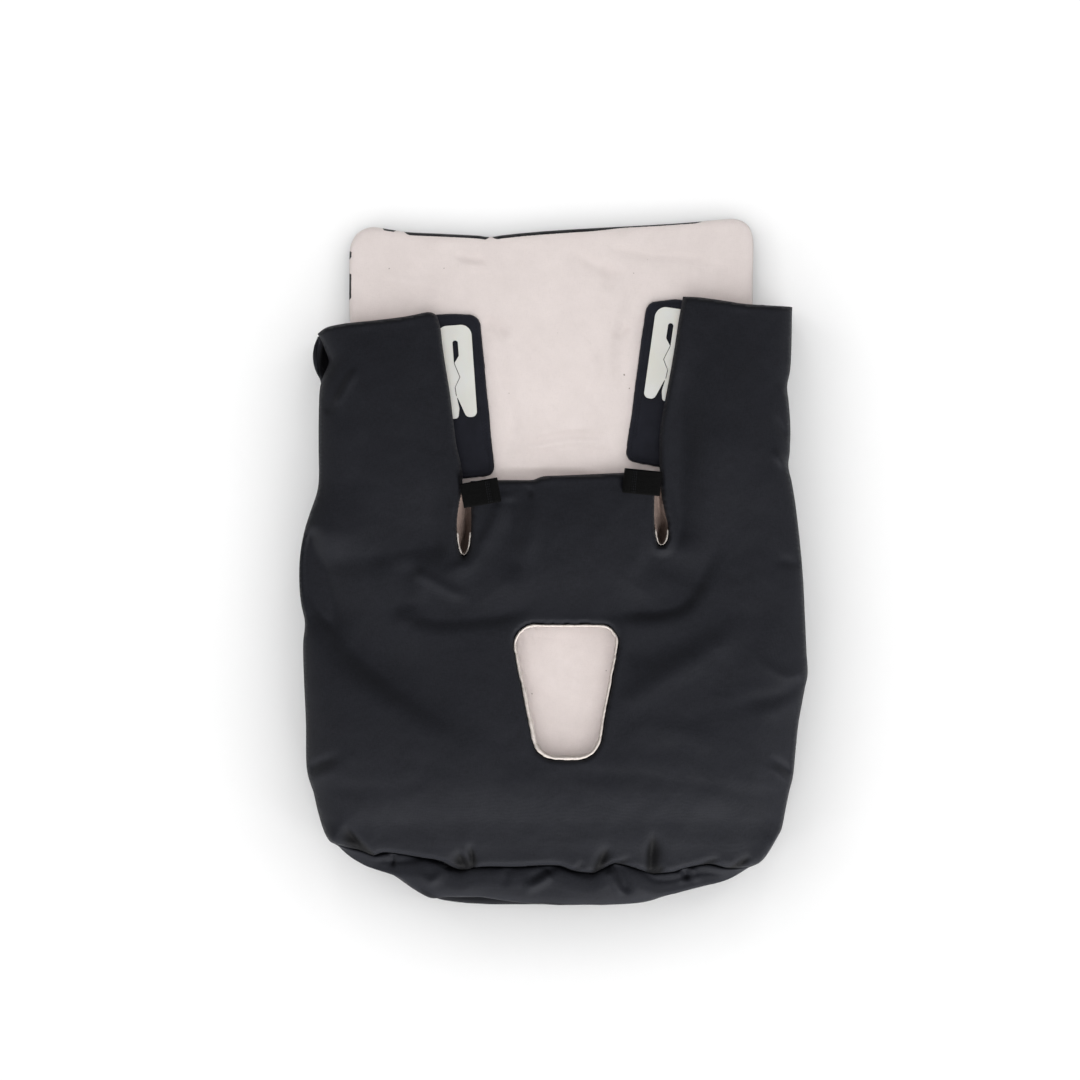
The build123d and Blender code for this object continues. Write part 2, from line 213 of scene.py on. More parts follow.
# ------------------------------------------------------ meshes
ROW = 0.866  # the height of a lattice's rows, as a share of its spacing


def triangles(boundary_lines, inner_lines, keep, spacing, clear):
    """Triangles over a region: the points on its lines, in order, then a lattice.
    Returns points, faces and where each line's points are."""
    pts, edges = [], []
    for line, closed in boundary_lines + inner_lines:
        start = len(pts)
        pts.extend(map(tuple, line))
        last = len(pts)
        edges += [(k, k + 1) for k in range(start, last - 1)]
        if closed:
            edges.append((last - 1, start))
    fixed = len(pts)
    all_lines = np.array(pts)
    low, high = all_lines.min(0), all_lines.max(0)
    rows = int((high[1] - low[1]) / (spacing * ROW)) + 1
    columns = int((high[0] - low[0]) / spacing) + 1
    j, i = np.meshgrid(np.arange(rows), np.arange(columns), indexing="ij")
    grid = np.stack([low[0] + (i + (j % 2) / 2) * spacing, low[1] + j * spacing * ROW], axis=-1)
    grid = grid.reshape(-1, 2)
    grid = grid[keep(grid)]
    for line, closed in boundary_lines + inner_lines:
        grid = grid[to_line(grid, line, closed)[0] > clear]
    pts += map(tuple, grid)
    result = delaunay_2d_cdt([Vector(p) for p in pts], edges, [], 0, 1e-4)
    coords = np.array([v[:] for v in result[0]])
    faces = np.array(result[2])
    middle = coords[faces].mean(axis=1)
    faces = faces[keep(middle)]
    source = [min(o) if len(o) else -1 for o in result[3]]
    index = {s: k for k, s in enumerate(source) if 0 <= s < fixed}
    return coords, faces, index


def make(name, verts, faces, material, lining=None, normals=None, painted_shade=None):
    """A mesh object from millimetres."""
    mesh = bpy.data.meshes.new(name)
    mesh.from_pydata((np.asarray(verts) * MM).tolist(), [], [list(map(int, f)) for f in faces])
    obj = bpy.data.objects.new(name, mesh)
    bpy.context.scene.collection.objects.link(obj)
    mesh.materials.append(material)
    mesh.polygons.foreach_set("use_smooth", [True] * len(mesh.polygons))
    # lining picks cream or dark cloth; the second value is painted shade that darkens the dark cloth
    for key, values in (("lining", lining), ("painted_shade", painted_shade)):
        if values is not None:
            attribute = mesh.attributes.new(key, "FLOAT", "POINT")
            attribute.data.foreach_set("value", np.asarray(values, np.float32))
    mesh.update()
    if normals is not None:
        mesh.normals_split_custom_set_from_vertices([tuple(n) for n in normals])
    return obj


def declare(piece, body, replaced=()):
    """What a piece rides and what it stands for: it is attached to its body, and the parts it replaces are
    hidden.
    """
    if body:
        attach(piece, body)
    if replaced:
        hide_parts(*replaced)


def layers(name):
    return [f"{name}_{layer}" for layer in ("outer_fabric", "wadding", "lining")]


def vertex_normals(verts, faces):
    total = np.zeros_like(verts)
    tri = verts[faces]
    cross = np.cross(tri[:, 1] - tri[:, 0], tri[:, 2] - tri[:, 0])
    for k in range(3):
        np.add.at(total, faces[:, k], cross)
    return total / np.maximum(lengths_of(total), 1e-12)[:, None]


def shell(outline, holes, folds, top, bottom, fine=FINE, coarse=COARSE):
    """A closed padded skin over a region. top and bottom take points and give heights.
    Its upper and under faces share the points of the outline and the holes.
    Returns points, faces, which faces are under, each fold's pairs and the rim's points."""
    rims = [(outline, True)] + [(h, True) for h in holes]
    lines = [(f, False) for f in folds]

    def keep(points):
        ok = inside(points, outline)
        for h in holes:
            ok &= ~inside(points, h)
        return ok

    upper, upper_faces, upper_index = triangles(rims, lines, keep, fine, 0.6 * fine)
    borders = []
    for ring, _ in rims:
        into = 1 if (area_of(ring) > 0) == (ring is outline) else -1
        borders.append((inset_ring(ring, into * 0.65 * fine)[::2], True))
    under, under_faces, under_index = triangles(rims, lines + borders, keep, coarse, 0.55 * fine)
    rim_count = sum(len(r) for r, _ in rims)
    verts = np.vstack([np.column_stack([upper, top(upper)]), np.column_stack([under, bottom(under)])])
    shift = len(upper)
    remap = np.arange(shift + len(under))
    for k in range(rim_count):
        if k in upper_index and k in under_index:
            remap[under_index[k] + shift] = upper_index[k]
    faces = np.vstack([upper_faces, remap[under_faces[:, ::-1] + shift]])
    is_under = np.arange(len(faces)) >= len(upper_faces)
    fold_pairs = []
    start = rim_count
    for f in folds:
        own = range(start, start + len(f))
        fold_pairs.append([(upper_index[k], remap[under_index[k] + shift]) for k in own])
        start += len(f)
    return verts, faces, is_under, fold_pairs, upper_index


def area_of(line):
    x, y = line.T
    return 0.5 * np.sum(x * np.roll(y, -1) - y * np.roll(x, -1))


def inset_ring(line, depth):
    """A closed line moved to its left, which is inwards where it runs anticlockwise."""
    step = directions(line)
    return line + depth * np.column_stack([-step[:, 1], step[:, 0]])


def part_of(verts, faces, chosen, caps, extra):
    """The chosen faces, with caps along the folds, and only the points they use."""
    picked = [tuple(f) for f in faces[chosen]]
    for pairs, flip in caps:
        for (t0, b0), (t1, b1) in zip(pairs[:-1], pairs[1:]):
            quad = [t0, t1, b1, b0]
            quad = [v for k, v in enumerate(quad) if v != quad[k - 1]]
            if len(set(quad)) >= 3:
                picked.append(tuple(reversed(quad)) if flip else tuple(quad))
    used = sorted({v for f in picked for v in f})
    index = {v: k for k, v in enumerate(used)}
    return [[index[v] for v in f] for f in picked], used, [e[used] for e in extra]


def tube_faces(rings, sides, start=0, closed=False):
    """Four-cornered faces between rings of points that follow one another."""
    faces = []
    for i in range(rings if closed else rings - 1):
        here, there = start + i * sides, start + (i + 1) % rings * sides
        for k in range(sides):
            after = (k + 1) % sides
            faces.append((here + k, here + after, there + after, there + k))
    return faces


def end_faces(rings, sides, start=0):
    """One face over the first ring and one over the last."""
    first = tuple(range(start, start + sides))
    last = tuple(k + (rings - 1) * sides for k in first)
    return [first[::-1], last]


def sweep(name, centres, across, up, section, material, closed, wobble=None):
    """A tube along centres: section points are (across, up) offsets in millimetres."""
    n, m = len(centres), len(section)
    verts = np.zeros((n, m, 3))
    for k, (u, v) in enumerate(section):
        verts[:, k] = centres + across * u + up * v
    if wobble is not None:
        verts += wobble(verts)
    faces = tube_faces(n, m, closed=closed) + ([] if closed else end_faces(n, m))
    return make(name, verts.reshape(-1, 3), faces, material)


# ------------------------------------------------------ materials
class Nodes:
    """Short hand for building a node tree."""

    def __init__(self, name):
        self.material = bpy.data.materials.new(name)
        self.material.use_nodes = True
        self.tree = self.material.node_tree
        self.shader = self.tree.nodes["Principled BSDF"]
        self.coords = self.add("ShaderNodeTexCoord").outputs["Object"]

    def add(self, kind, values=None, **properties):
        node = self.tree.nodes.new(kind)
        for key, value in properties.items():
            setattr(node, key, value)
        for key, value in (values or {}).items():
            if isinstance(value, bpy.types.NodeSocket):
                self.tree.links.new(value, node.inputs[key])
            else:
                node.inputs[key].default_value = value
        return node

    def into(self, key, output):
        self.tree.links.new(output, self.shader.inputs[key])

    def scaled(self, value, factor, plus):
        return self.math("ADD", self.math("MULTIPLY", value, factor), plus)

    def math(self, operation, a, b=0.0):
        return self.add("ShaderNodeMath", {0: a, 1: b}, operation=operation).outputs[0]

    def noise(self, scale, detail=2.0, rough=0.5, coords=None):
        values = {"Vector": coords or self.coords, "Scale": scale, "Detail": detail, "Roughness": rough}
        return self.add("ShaderNodeTexNoise", values).outputs["Fac"]

    def stretch(self, x, y, z):
        return self.add("ShaderNodeMapping", {"Vector": self.coords, "Scale": (x, y, z)}).outputs["Vector"]

    def ramp(self, value, low, high):
        """0 at or below low, 1 at or above high."""
        values = {"Value": value, "From Min": low, "From Max": high}
        return self.add("ShaderNodeMapRange", values).outputs["Result"]

    def mix(self, factor, a, b):
        """Between two colours; 6, 7 and 2 are the node's colour sockets."""
        return self.add("ShaderNodeMix", {0: factor, 6: a, 7: b}, data_type="RGBA").outputs[2]

    def weave(self, pitch):
        """Over and under threads on the three axes, so that it shows on every face."""
        parts = self.add("ShaderNodeSeparateXYZ", {"Vector": self.coords})
        turns = 2 * math.pi / (pitch * MM)
        wave = [self.math("SINE", self.math("MULTIPLY", parts.outputs[k], turns)) for k in range(3)]
        return self.math("ADD", self.math("ADD", wave[0], wave[1]), wave[2])

    def bump(self, height, strength, distance):
        values = {"Strength": strength, "Distance": distance, "Height": height}
        return self.add("ShaderNodeBump", values).outputs["Normal"]

    def finish(self, **constants):
        for key, value in constants.items():
            self.shader.inputs[key.replace("_", " ")].default_value = value
        return self.material


def rgb(r, g, b):
    """A colour given in display values from 0 to 255."""
    def linear(c):
        c /= 255
        return c / 12.92 if c <= 0.04045 else ((c + 0.055) / 1.055) ** 2.4
    return (linear(r), linear(g), linear(b), 1.0)


def panel_cloth():
    """Dark woven outer fabric where the lining value is below 0, cream lining above it."""
    n = Nodes("panel_cloth")
    value = n.add("ShaderNodeAttribute", attribute_name="lining").outputs["Fac"]
    edge = n.math("ADD", value, n.math("MULTIPLY", n.math("SUBTRACT", n.noise(900.0), 0.5), 0.25))
    is_lining = n.ramp(edge, -0.02, 0.02)
    mottle = n.noise(38.0, 4.0, 0.6)
    slub = n.noise(1.0, 3.0, 0.6, n.stretch(240, 2400, 240))
    slub_across = n.noise(1.0, 3.0, 0.6, n.stretch(2400, 240, 240))
    thread = n.math("MULTIPLY", n.math("ADD", slub, slub_across), 0.5)
    dark = n.mix(n.ramp(mottle, 0.3, 0.7), rgb(21, 22, 26), rgb(25, 26, 31))
    dark = n.mix(n.ramp(thread, 0.35, 0.65), dark, rgb(33, 34, 40))
    # painted shade: a per-point value paints the dark cloth near-black in the pleats' hollows, along the
    # back's edge and on the foot's tucked-under layer
    painted_shade = n.add("ShaderNodeAttribute", attribute_name="painted_shade").outputs["Fac"]
    dark = n.mix(painted_shade, dark, rgb(5, 5, 7))
    cream = n.mix(n.ramp(mottle, 0.25, 0.75), rgb(213, 203, 200), rgb(220, 210, 207))
    cream = n.mix(n.math("MULTIPLY", n.ramp(thread, 0.5, 0.7), 0.4), cream, rgb(196, 186, 182))
    fleck = n.ramp(n.noise(210.0, 0.0), 0.872, 0.895)
    cream = n.mix(fleck, cream, rgb(150, 138, 132))
    n.into("Base Color", n.mix(is_lining, dark, cream))
    rough = n.ramp(thread, 0.2, 0.8)
    n.into("Roughness", n.scaled(rough, 0.12, 0.55))
    fine = n.scaled(n.weave(0.62), 0.25, n.math("MULTIPLY", thread, 1.6))
    first = n.bump(fine, 0.35, 0.00025)
    soft = n.add("ShaderNodeBump", {"Strength": 0.25, "Distance": 0.002, "Height": mottle, "Normal": first})
    n.into("Normal", soft.outputs["Normal"])
    return n.finish(Sheen_Weight=0.035, Sheen_Roughness=0.5, Specular_IOR_Level=0.12)


def plain_cloth(name, dark, light, pitch, mottle_scale=60.0, sheen=0.02, rough=0.7, strength=0.4):
    """One woven colour with slubs and uneven dye."""
    n = Nodes(name)
    mottle = n.noise(mottle_scale, 4.0, 0.6)
    thread = n.noise(1.0, 3.0, 0.6, n.stretch(400, 2600, 400))
    colour = n.mix(n.ramp(mottle, 0.3, 0.7), dark, light)
    n.into("Base Color", n.mix(n.math("MULTIPLY", thread, 0.4), colour, light))
    height = n.scaled(n.weave(pitch), 0.3, thread)
    n.into("Normal", n.bump(height, strength, 0.0003))
    n.into("Roughness", n.scaled(mottle, 0.15, rough - 0.08))
    return n.finish(Sheen_Weight=sheen, Sheen_Roughness=0.5, Specular_IOR_Level=0.12)


def hook_plastic():
    """Off-white moulded plastic, a little yellow in places, with faint flow marks."""
    n = Nodes("hook_plastic")
    flow = n.noise(70.0, 3.0, 0.55)
    age = n.noise(24.0, 1.0, 0.5)
    colour = n.mix(n.ramp(age, 0.35, 0.7), rgb(219, 216, 212), rgb(213, 208, 199))
    n.into("Base Color", n.mix(n.math("MULTIPLY", flow, 0.3), colour, rgb(207, 203, 196)))
    n.into("Roughness", n.scaled(flow, 0.2, 0.32))
    n.into("Normal", n.bump(n.noise(900.0, 3.0), 0.12, 0.0002))
    return n.finish(Specular_IOR_Level=0.45, Subsurface_Weight=0.08)


def rivet_metal():
    n = Nodes("rivet_metal")
    scratch = n.noise(1.0, 3.0, 0.6, n.stretch(300, 3000, 300))
    n.into("Base Color", n.mix(scratch, rgb(170, 168, 162), rgb(205, 203, 198)))
    n.into("Roughness", n.scaled(scratch, 0.25, 0.25))
    return n.finish(Metallic=1.0)


CLOTH = panel_cloth()
PAD_CLOTH = plain_cloth("pad_cloth", rgb(21, 22, 29), rgb(30, 31, 39), 0.7)
RIM_CLOTH = plain_cloth("rim_cloth", rgb(188, 178, 170), rgb(220, 212, 206), 0.5, 400.0, rough=0.85)
WEBBING = plain_cloth("webbing", rgb(1, 1, 1), rgb(4, 4, 4), 1.25, 200.0, sheen=0.0, rough=0.85, strength=0.9)
THREAD = plain_cloth("thread", rgb(14, 15, 18), rgb(30, 31, 36), 0.4, 900.0, rough=0.6)
TAPE = plain_cloth("tape", rgb(20, 20, 24), rgb(34, 34, 40), 0.9, 200.0)
PLASTIC = hook_plastic()
METAL = rivet_metal()
# painted shade: the slits' cream lining is painted taupe, as it looks in shadow
PAINTED_SHADE_FACING = plain_cloth("facing_painted_shade", rgb(122, 106, 99), rgb(140, 123, 115), 0.5, 300.0, rough=0.85)

# ------------------------------------------------------ the bag's lines, from the foot end (-Y) up
LEFT_SIDE = [
    (-241.2, 233.4), (-237.5, 227), (-233.5, 217), (-229.6, 206), (-231.5, 199), (-236, 189), (-239, 176),
    (-240, 150), (-240.2, 115), (-239.8, 92), (-240.5, 78), (-243, 67), (-249, 50), (-254.6, 32),
    (-259, 8), (-260, -18), (-258.2, -42), (-254.2, -62), (-256, -84), (-255.2, -120), (-253.2, -165),
    (-252.8, -206), (-250.5, -221), (-245.4, -236), (-241.3, -254), (-235, -275), (-228.5, -286),
    (-223.4, -288.6),
]
FOOT_SEAM = [
    (-223.4, -288.6), (-208, -292.6), (-198.9, -294.3), (-190, -297.8), (-183.6, -300.4, 1), (-173.5, -297),
    (-156.6, -298.5), (-132.9, -302.7), (-114.2, -306.1), (-100.8, -312.8), (-86.5, -316.6, 1), (-73.6, -312),
    (-38, -311.8), (5.8, -310.6), (21.9, -316), (42.9, -318.4, 1), (62.3, -308, 1), (76, -310.6),
    (100.9, -319, 1), (123.7, -316.7), (132.5, -313.7), (150.1, -309.9), (162.4, -309), (180, -313.2),
    (196, -312.6), (210, -308.6),
]
RIGHT_SIDE = [
    (210, -308.6), (215.5, -303.5), (222.8, -292.6), (230.4, -281), (234.4, -273), (237.6, -257),
    (241.9, -236), (245.8, -220), (248.8, -191), (251.4, -166), (255, -146), (258.4, -128), (261, -115),
    (259.8, -92), (258.4, -60),
    (255.6, -8), (249.6, 50), (245, 80), (241.2, 98), (242.6, 112), (243.2, 140), (241.6, 163), (240, 180),
    (243, 196), (244.4, 222), (244.8, 248), (245.2, 261),
]
RIGHT_TOP = [(245.2, 261), (220, 262), (196, 263.6), (180, 266), (164, 268.4), (148, 270.4), (132.8, 271)]
RIGHT_INNER = [
    (132.8, 271), (131, 262), (128.3, 247), (125.8, 230), (122.8, 211), (119.3, 191), (115.9, 173),
    (112.2, 154), (109.3, 136), (108.3, 115), (109, 92), (111, 68), (114.4, 50), (117.3, 38), (117.4, 29),
    (115, 20.5), (110.6, 16.8), (106.8, 20.5), (104.4, 30), (103.5, 44), (103.4, 62), (103.9, 80),
    (104.2, 90.6),
]
NECKLINE = [
    (104.2, 90.6), (90, 91.2), (66, 90.8), (34, 89.4), (8, 88.3), (-9, 87.6), (-15, 86), (-19.5, 84),
    (-28, 83.6), (-50, 83.6), (-70, 83.2), (-84.4, 82.6),
]
LEFT_INNER = [
    (-84.4, 82.6), (-83.8, 66), (-83.5, 44), (-84.2, 27), (-86.6, 12.5), (-91, 6.8), (-95, 12), (-97.3, 22),
    (-98.2, 34), (-97.8, 46), (-95.9, 60), (-93, 76), (-92.2, 88), (-94.4, 102), (-98.4, 118), (-102, 145),
    (-105.2, 172), (-109.8, 200), (-113, 222), (-115.2, 240), (-118.4, 251.6),
]
LEFT_TOP = [(-118.4, 251.6), (-123, 254.4), (-128, 255.2), (-142, 252.4), (-157, 249.8), (-184, 246.6),
            (-207, 244.2), (-224, 241.6), (-233, 239), (-241.2, 233.4)]
FOOT_EDGE = [
    (-223.4, -288.6), (-208, -299.8), (-191, -309.2), (-174, -317.2), (-161, -324.6), (-142, -337.4),
    (-125.6, -346), (-108, -351), (-74, -354), (-38, -354.4), (7, -354), (57, -352.6), (87, -351),
    (101, -348.6), (114, -344.4), (151, -334.6), (177, -324.2), (198, -314.6), (210, -308.6),
]
LEFT_FOLD = ((-98.2, 30.0), (-212.0, 243.6))
RIGHT_FOLD = ((117.4, 33.0), (214.0, 262.4))
FLAP_FOLD_Y = 24.0

left_side, foot_seam, right_side = spline(LEFT_SIDE), spline(FOOT_SEAM), spline(RIGHT_SIDE)
inner_runs = [spline(p)[:-1] for p in (RIGHT_TOP, RIGHT_INNER, NECKLINE, LEFT_INNER)]
free_edge = np.vstack([*inner_runs, spline(LEFT_TOP)])
OUTLINE = np.vstack([left_side[:-1], foot_seam[:-1], right_side[:-1], free_edge[:-1]])
HOLE_CENTRE = (13.5, -132.5)
HOLE = rounded([
    (HOLE_CENTRE[0] - 58.2, HOLE_CENTRE[1] + 69.0, 21), (HOLE_CENTRE[0] - 30.0, HOLE_CENTRE[1] - 67.4, 25),
    (HOLE_CENTRE[0] + 31.0, HOLE_CENTRE[1] - 67.4, 24), (HOLE_CENTRE[0] + 55.9, HOLE_CENTRE[1] + 69.2, 18),
])
HOLE = HOLE + np.column_stack([0.7 * ripple(HOLE, 22, 3), 0.7 * ripple(HOLE, 22, 4)])


def snap(line, target):
    """Moves the nearest point of a line onto a target."""
    line[int(np.argmin(lengths_of(line - np.array(target))))] = target


def flap_crossing(low, high):
    """The outline's point at the flap's fold height, between two x values."""
    index = np.where((OUTLINE[:, 0] > low) & (OUTLINE[:, 0] < high))[0]
    k = index[np.argmin(abs(OUTLINE[index, 1] - FLAP_FOLD_Y))]
    OUTLINE[k, 1] = FLAP_FOLD_Y
    return OUTLINE[k].copy()


flap_left, flap_right = flap_crossing(-87.5, -83), flap_crossing(102.5, 107)
for fold_end in (*LEFT_FOLD, *RIGHT_FOLD):
    snap(OUTLINE, fold_end)


def fold_line(a, b):
    """Points along a fold, without its two ends, which are on the outline."""
    count = int(np.linalg.norm(np.array(b) - np.array(a)) / FINE)
    t = np.linspace(0, 1, count + 1)[1:-1, None]
    return np.array(a) * (1 - t) + np.array(b) * t


FLAP_FOLD = (tuple(flap_left), tuple(flap_right))
FOLDS = {"left_wing": LEFT_FOLD, "right_wing": RIGHT_FOLD, "front_flap": FLAP_FOLD}

# ------------------------------------------------------ front cover, wings and bib
COVER_MIDDLE, COVER_HALF = 37.0, 7.0  # the padded front's middle height, and half its thickness
SIDE_LEVEL, FOOT_LEVEL = 29.5, 33.6  # the seam's height along the sides and at the foot
SEAM_ALLOWANCE = 9  # the strip of outer fabric turned in under the seam
FOOT_LIFT, FOOT_CREST = 9.0, -220.0  # the loft of the foot end, and where it is highest
SIDE_LINE = np.vstack([left_side, foot_seam, right_side])

FOLDS_AND_WRINKLES = [
    # line, width on its left and right, depth, fades at its two ends
    # the long fold from the left side down to the opening
    ([(-246, 34), (-245, 0), (-238, -34), (-223, -64), (-201, -91), (-172, -115), (-140, -139), (-106, -161),
      (-66, -182)], 50, 15, -13.5, (0.15, 0.5)),
    ([(-254, 38), (-251, 6), (-245, -24), (-233, -54), (-212, -84)], 14, 7, -7.0, (0.1, 0.5)),
    ([(-232, 46), (-224, 0), (-206, -48)], 14, 12, 1.6, (0.2, 0.4)),
    # the belly's rim: left of it, under it and right of it
    ([(-148, 8), (-148, -26), (-143, -62)], 11, 20, -5.6, (0.3, 0.3)),
    ([(-152, -50), (-119, -58), (-76, -56), (-42, -50), (-18, -38)], 34, 9, -4.6, (0.15, 0.3)),
    ([(46, -53), (80, -50), (110, -49), (131, -42), (145, -24), (157, 2), (166, 26)], 34, 9, -6.6,
     (0.3, 0.35)),
    # beside the lower ends of the slits
    ([(-204, 6), (-150, 13), (-104, 22)], 56, 15, -5.4, (0.4, 0.15)),
    ([(84, 8), (114, -2), (146, 8)], 34, 20, -2.6, (0.3, 0.4)),
    # bib
    ([(-47, 74), (-58, 44), (-73, 20), (-96, -5), (-124, -20)], 12, 6.5, 3.0, (0.15, 0.35)),
    ([(-44, 68), (-43, 30), (-41, 4), (-38, -26)], 8, 16, -3.0, (0.1, 0.3)),
    ([(-28, 86), (-27, 78), (-23, 70), (-26, 62)], 3, 3, -3.2, (0.0, 0.5)),
    ([(-24, 66), (-21, 44), (-23, 20), (-36, -6)], 8, 10, 2.0, (0.3, 0.4)),
    ([(-144, -9), (-124, -19), (-102, -31), (-80, -38)], 6, 6, 2.4, (0.15, 0.4)),
    # right wing
    ([(160, 240), (160, 150), (159, 90), (154, -10)], 60, 19, 5.6, (0.6, 0.6)),
    ([(132, 226), (133, 150), (132, 100), (130, 50), (124, 10)], 17, 12, -7.0, (0.4, 0.12)),
    # left wing
    ([(-223, 158), (-212, 177), (-198, 199)], 3.5, 5, 2.4, (0.2, 0.3)),
    ([(-232, 150), (-216, 182), (-206, 206)], 7, 6, -1.4, (0.1, 0.4)),
    ([(-214, 226), (-206, 150), (-214, 74)], 16, 20, 1.8, (0.3, 0.3)),
    # right side, below the wing
    ([(68, -148), (105, -122), (150, -96), (206, -56)], 12, 14, 2.6, (0.1, 0.3)),
    ([(70, -100), (100, -92), (140, -74), (178, -58)], 20, 14, -2.4, (0.1, 0.4)),
    ([(258, -112), (238, -117), (214, -104), (194, -90)], 5, 6, 1.1, (0.0, 0.6)),
    ([(255, -122), (232, -135), (206, -140), (166, -152)], 8, 8, -1.6, (0.03, 0.5)),
    ([(252, -138), (230, -150), (192, -162)], 7, 8, 0.9, (0.03, 0.6)),
    ([(70, -170), (120, -172), (180, -184)], 12, 14, 1.4, (0.2, 0.4)),
    ([(242, 95), (232, 103), (223, 119)], 4, 5, 3.2, (0.0, 0.5)),
    ([(243, 128), (232, 137), (226, 152)], 4, 5, -2.6, (0.0, 0.5)),
    ([(242, 150), (237, 168), (229, 184)], 4, 4, 2.4, (0.2, 0.4)),
    ([(255, -4), (240, 0), (222, 2)], 5, 6, -2.0, (0.0, 0.6)),
    # foot end
    ([(-10, -219), (75, -217), (150, -226), (236, -240)], 8, 10, -0.8, (0.3, 0.1)),
    ([(248, -222), (234, -208), (214, -197)], 4, 5, -3.2, (0.0, 0.6)),
    ([(248, -229), (232, -215), (214, -206)], 4, 4, 1.6, (0.0, 0.6)),
    ([(-256, -217), (-240, -206), (-212, -193)], 5, 6, -3.4, (0.0, 0.5)),
    ([(-254, -227), (-236, -217), (-208, -207)], 6, 6, 1.4, (0.0, 0.6)),
    ([(-236, -232), (-180, -230), (-110, -222)], 9, 10, -1.2, (0.2, 0.5)),
]
FOOT_PLEATS = [
    ([(-214, -265), (-203, -281), (-185, -300)], 3.5, 12, -6.5, (0.5, 0.0)),
    ([(-86, -318), (-92, -305), (-99, -292)], 9, 4, -6.5, (0.0, 0.5)),
    ([(-83, -318), (-81.5, -304), (-85.5, -284)], 4, 3.5, -6.0, (0.0, 0.5)),
    ([(43, -320), (49, -304), (60, -286)], 5, 8, -5.5, (0.0, 0.5)),
    ([(100, -321), (100, -300), (103, -270)], 5, 9, -6.5, (0.0, 0.5)),
    ([(151, -311), (160, -306), (172, -301)], 3, 6, -4.5, (0.0, 0.5)),
    ([(180, -314), (190, -307), (204, -298)], 3, 6, -5.0, (0.0, 0.5)),
    ([(64, -310), (72, -305), (82, -300)], 3, 5, -3.6, (0.0, 0.6)),
    ([(107, -318), (111, -312), (114, -308)], 3, 3, -3.0, (0.0, 0.6)),
    ([(22, -316), (28, -309), (34, -304)], 3, 5, -2.5, (0.0, 0.6)),
]


def seam_level(points):
    return SIDE_LEVEL + (FOOT_LEVEL - SIDE_LEVEL) * smooth((-272 - points[:, 1]) / 24)


def cover_fields(points):
    free = np.minimum(to_line(points, free_edge)[0], to_line(points, HOLE, True)[0])
    side = to_line(points, SIDE_LINE)[0]
    at_foot = smooth((-262 - points[:, 1]) / 26)
    reach = 30 - 21 * at_foot
    level = seam_level(points)
    middle = level + (COVER_MIDDLE + 2.5 * at_foot - level) * dome(side, reach)
    past = points[:, 1] - FOOT_CREST
    middle += FOOT_LIFT * np.exp(-((past / np.where(past > 0, 135.0, 52.0)) ** 2)) * smooth(side / 44)
    half = COVER_HALF * dome(free, 7.0, 2.5) * dome(side, 20 - 14 * at_foot)
    return middle, half, free, side


def foot_pleats(points):
    return creases(points, FOOT_PLEATS, 1.5)


def cover_top(points):
    middle, half, free, side = cover_fields(points)
    form = creases(points, FOLDS_AND_WRINKLES)
    pleats = foot_pleats(points)
    crown = 3.2 * smooth(side / 95) * smooth(free / 70)
    swell = 1.5 * ripple(points, 95, 1) + 0.5 * ripple(points, 34, 2)
    guard = smooth(free / 14) * smooth(side / 8)
    z = middle + half + guard * (form + crown + swell) + pleats * smooth(side / 2.5)
    # a soft stop: the cloth never goes below the seam
    lowest = seam_level(points) + 1.6 * dome(side, 5.0)
    over = z - lowest
    return lowest + 0.7 * np.logaddexp(0, over / 0.7) - 0.485 * np.exp(-((over / 2) ** 2))


def cover_bottom(points):
    middle, half, free, side = cover_fields(points)
    soft = middle - half + 0.5 * ripple(points, 60, 5) * smooth(free / 20) * smooth(side / 20)
    return np.minimum(soft, cover_top(points) - 2.5 * dome(np.minimum(free, side), 8.0))


fold_lines = [fold_line(*fold) for fold in FOLDS.values()]
verts, faces, is_under, fold_pairs, rim = shell(OUTLINE, [HOLE], fold_lines, cover_top, cover_bottom)
normals = vertex_normals(verts, faces)
lining = np.where(np.isin(np.arange(len(verts)), np.unique(faces[is_under])), 1.0, -1.0)
lining[list(rim.values())] = -1.0
lining[to_line(verts[:, :2], SIDE_LINE)[0] < SEAM_ALLOWANCE] = -1.0
# painted shade: the dark cloth is painted darker in the foot pleats' hollows
painted_shade = 0.95 * smooth((-foot_pleats(verts[:, :2]) - 0.4) / 4.2)


def region(fold, corners):
    """Which faces lie past a fold: inside the polygon of the fold and the given far corners."""
    polygon = np.array([fold[0], fold[1], *corners], float)
    return inside(verts[faces].mean(axis=1)[:, :2], polygon)


REGIONS = {
    "left_wing": region(LEFT_FOLD, [(-212, 262), (-108, 262), (-91, 120), (-91, 30)]),
    "right_wing": region(RIGHT_FOLD, [(214, 280), (124, 280), (106, 120), (106, 33)]),
    "front_flap": region(FLAP_FOLD, [(106.5, 95), (-87.5, 95)]),
}


def with_ends(pairs, fold):
    """A fold's points with its two ends, where the upper and under faces meet on the outline."""
    out = []
    for end in fold:
        k = int(np.argmin(lengths_of(verts[:, :2] - np.array(end))))
        out.append((k, k))
    return [out[0], *pairs, out[1]]


cap_pairs = {n: with_ends(p, FOLDS[n]) for n, p in zip(FOLDS, fold_pairs)}


def cut_out(name, chosen, caps):
    picked, used, own = part_of(verts, faces, chosen, caps, [lining, normals, painted_shade])
    return make(name, verts[used], picked, CLOTH, *own)


remaining = ~(REGIONS["left_wing"] | REGIONS["right_wing"] | REGIONS["front_flap"])
cover = cut_out("front_cover_panel", remaining, [(pairs, False) for pairs in cap_pairs.values()])
declare(cover, "bag", layers("front_cover"))

PAST_FOLDS = np.array([0.0, 120.0])  # a point on the moving side of every fold
for name, fold in FOLDS.items():
    piece = cut_out(f"{name}_panel", REGIONS[name], [(cap_pairs[name], True)])
    a, b = np.array(fold[0]), np.array(fold[1])
    along = (b - a) / np.linalg.norm(b - a)
    inward = np.array([-along[1], along[0]])
    if inward @ (PAST_FOLDS - a) < 0:
        inward = -inward
    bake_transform(piece)
    declare(piece, None, layers(name))

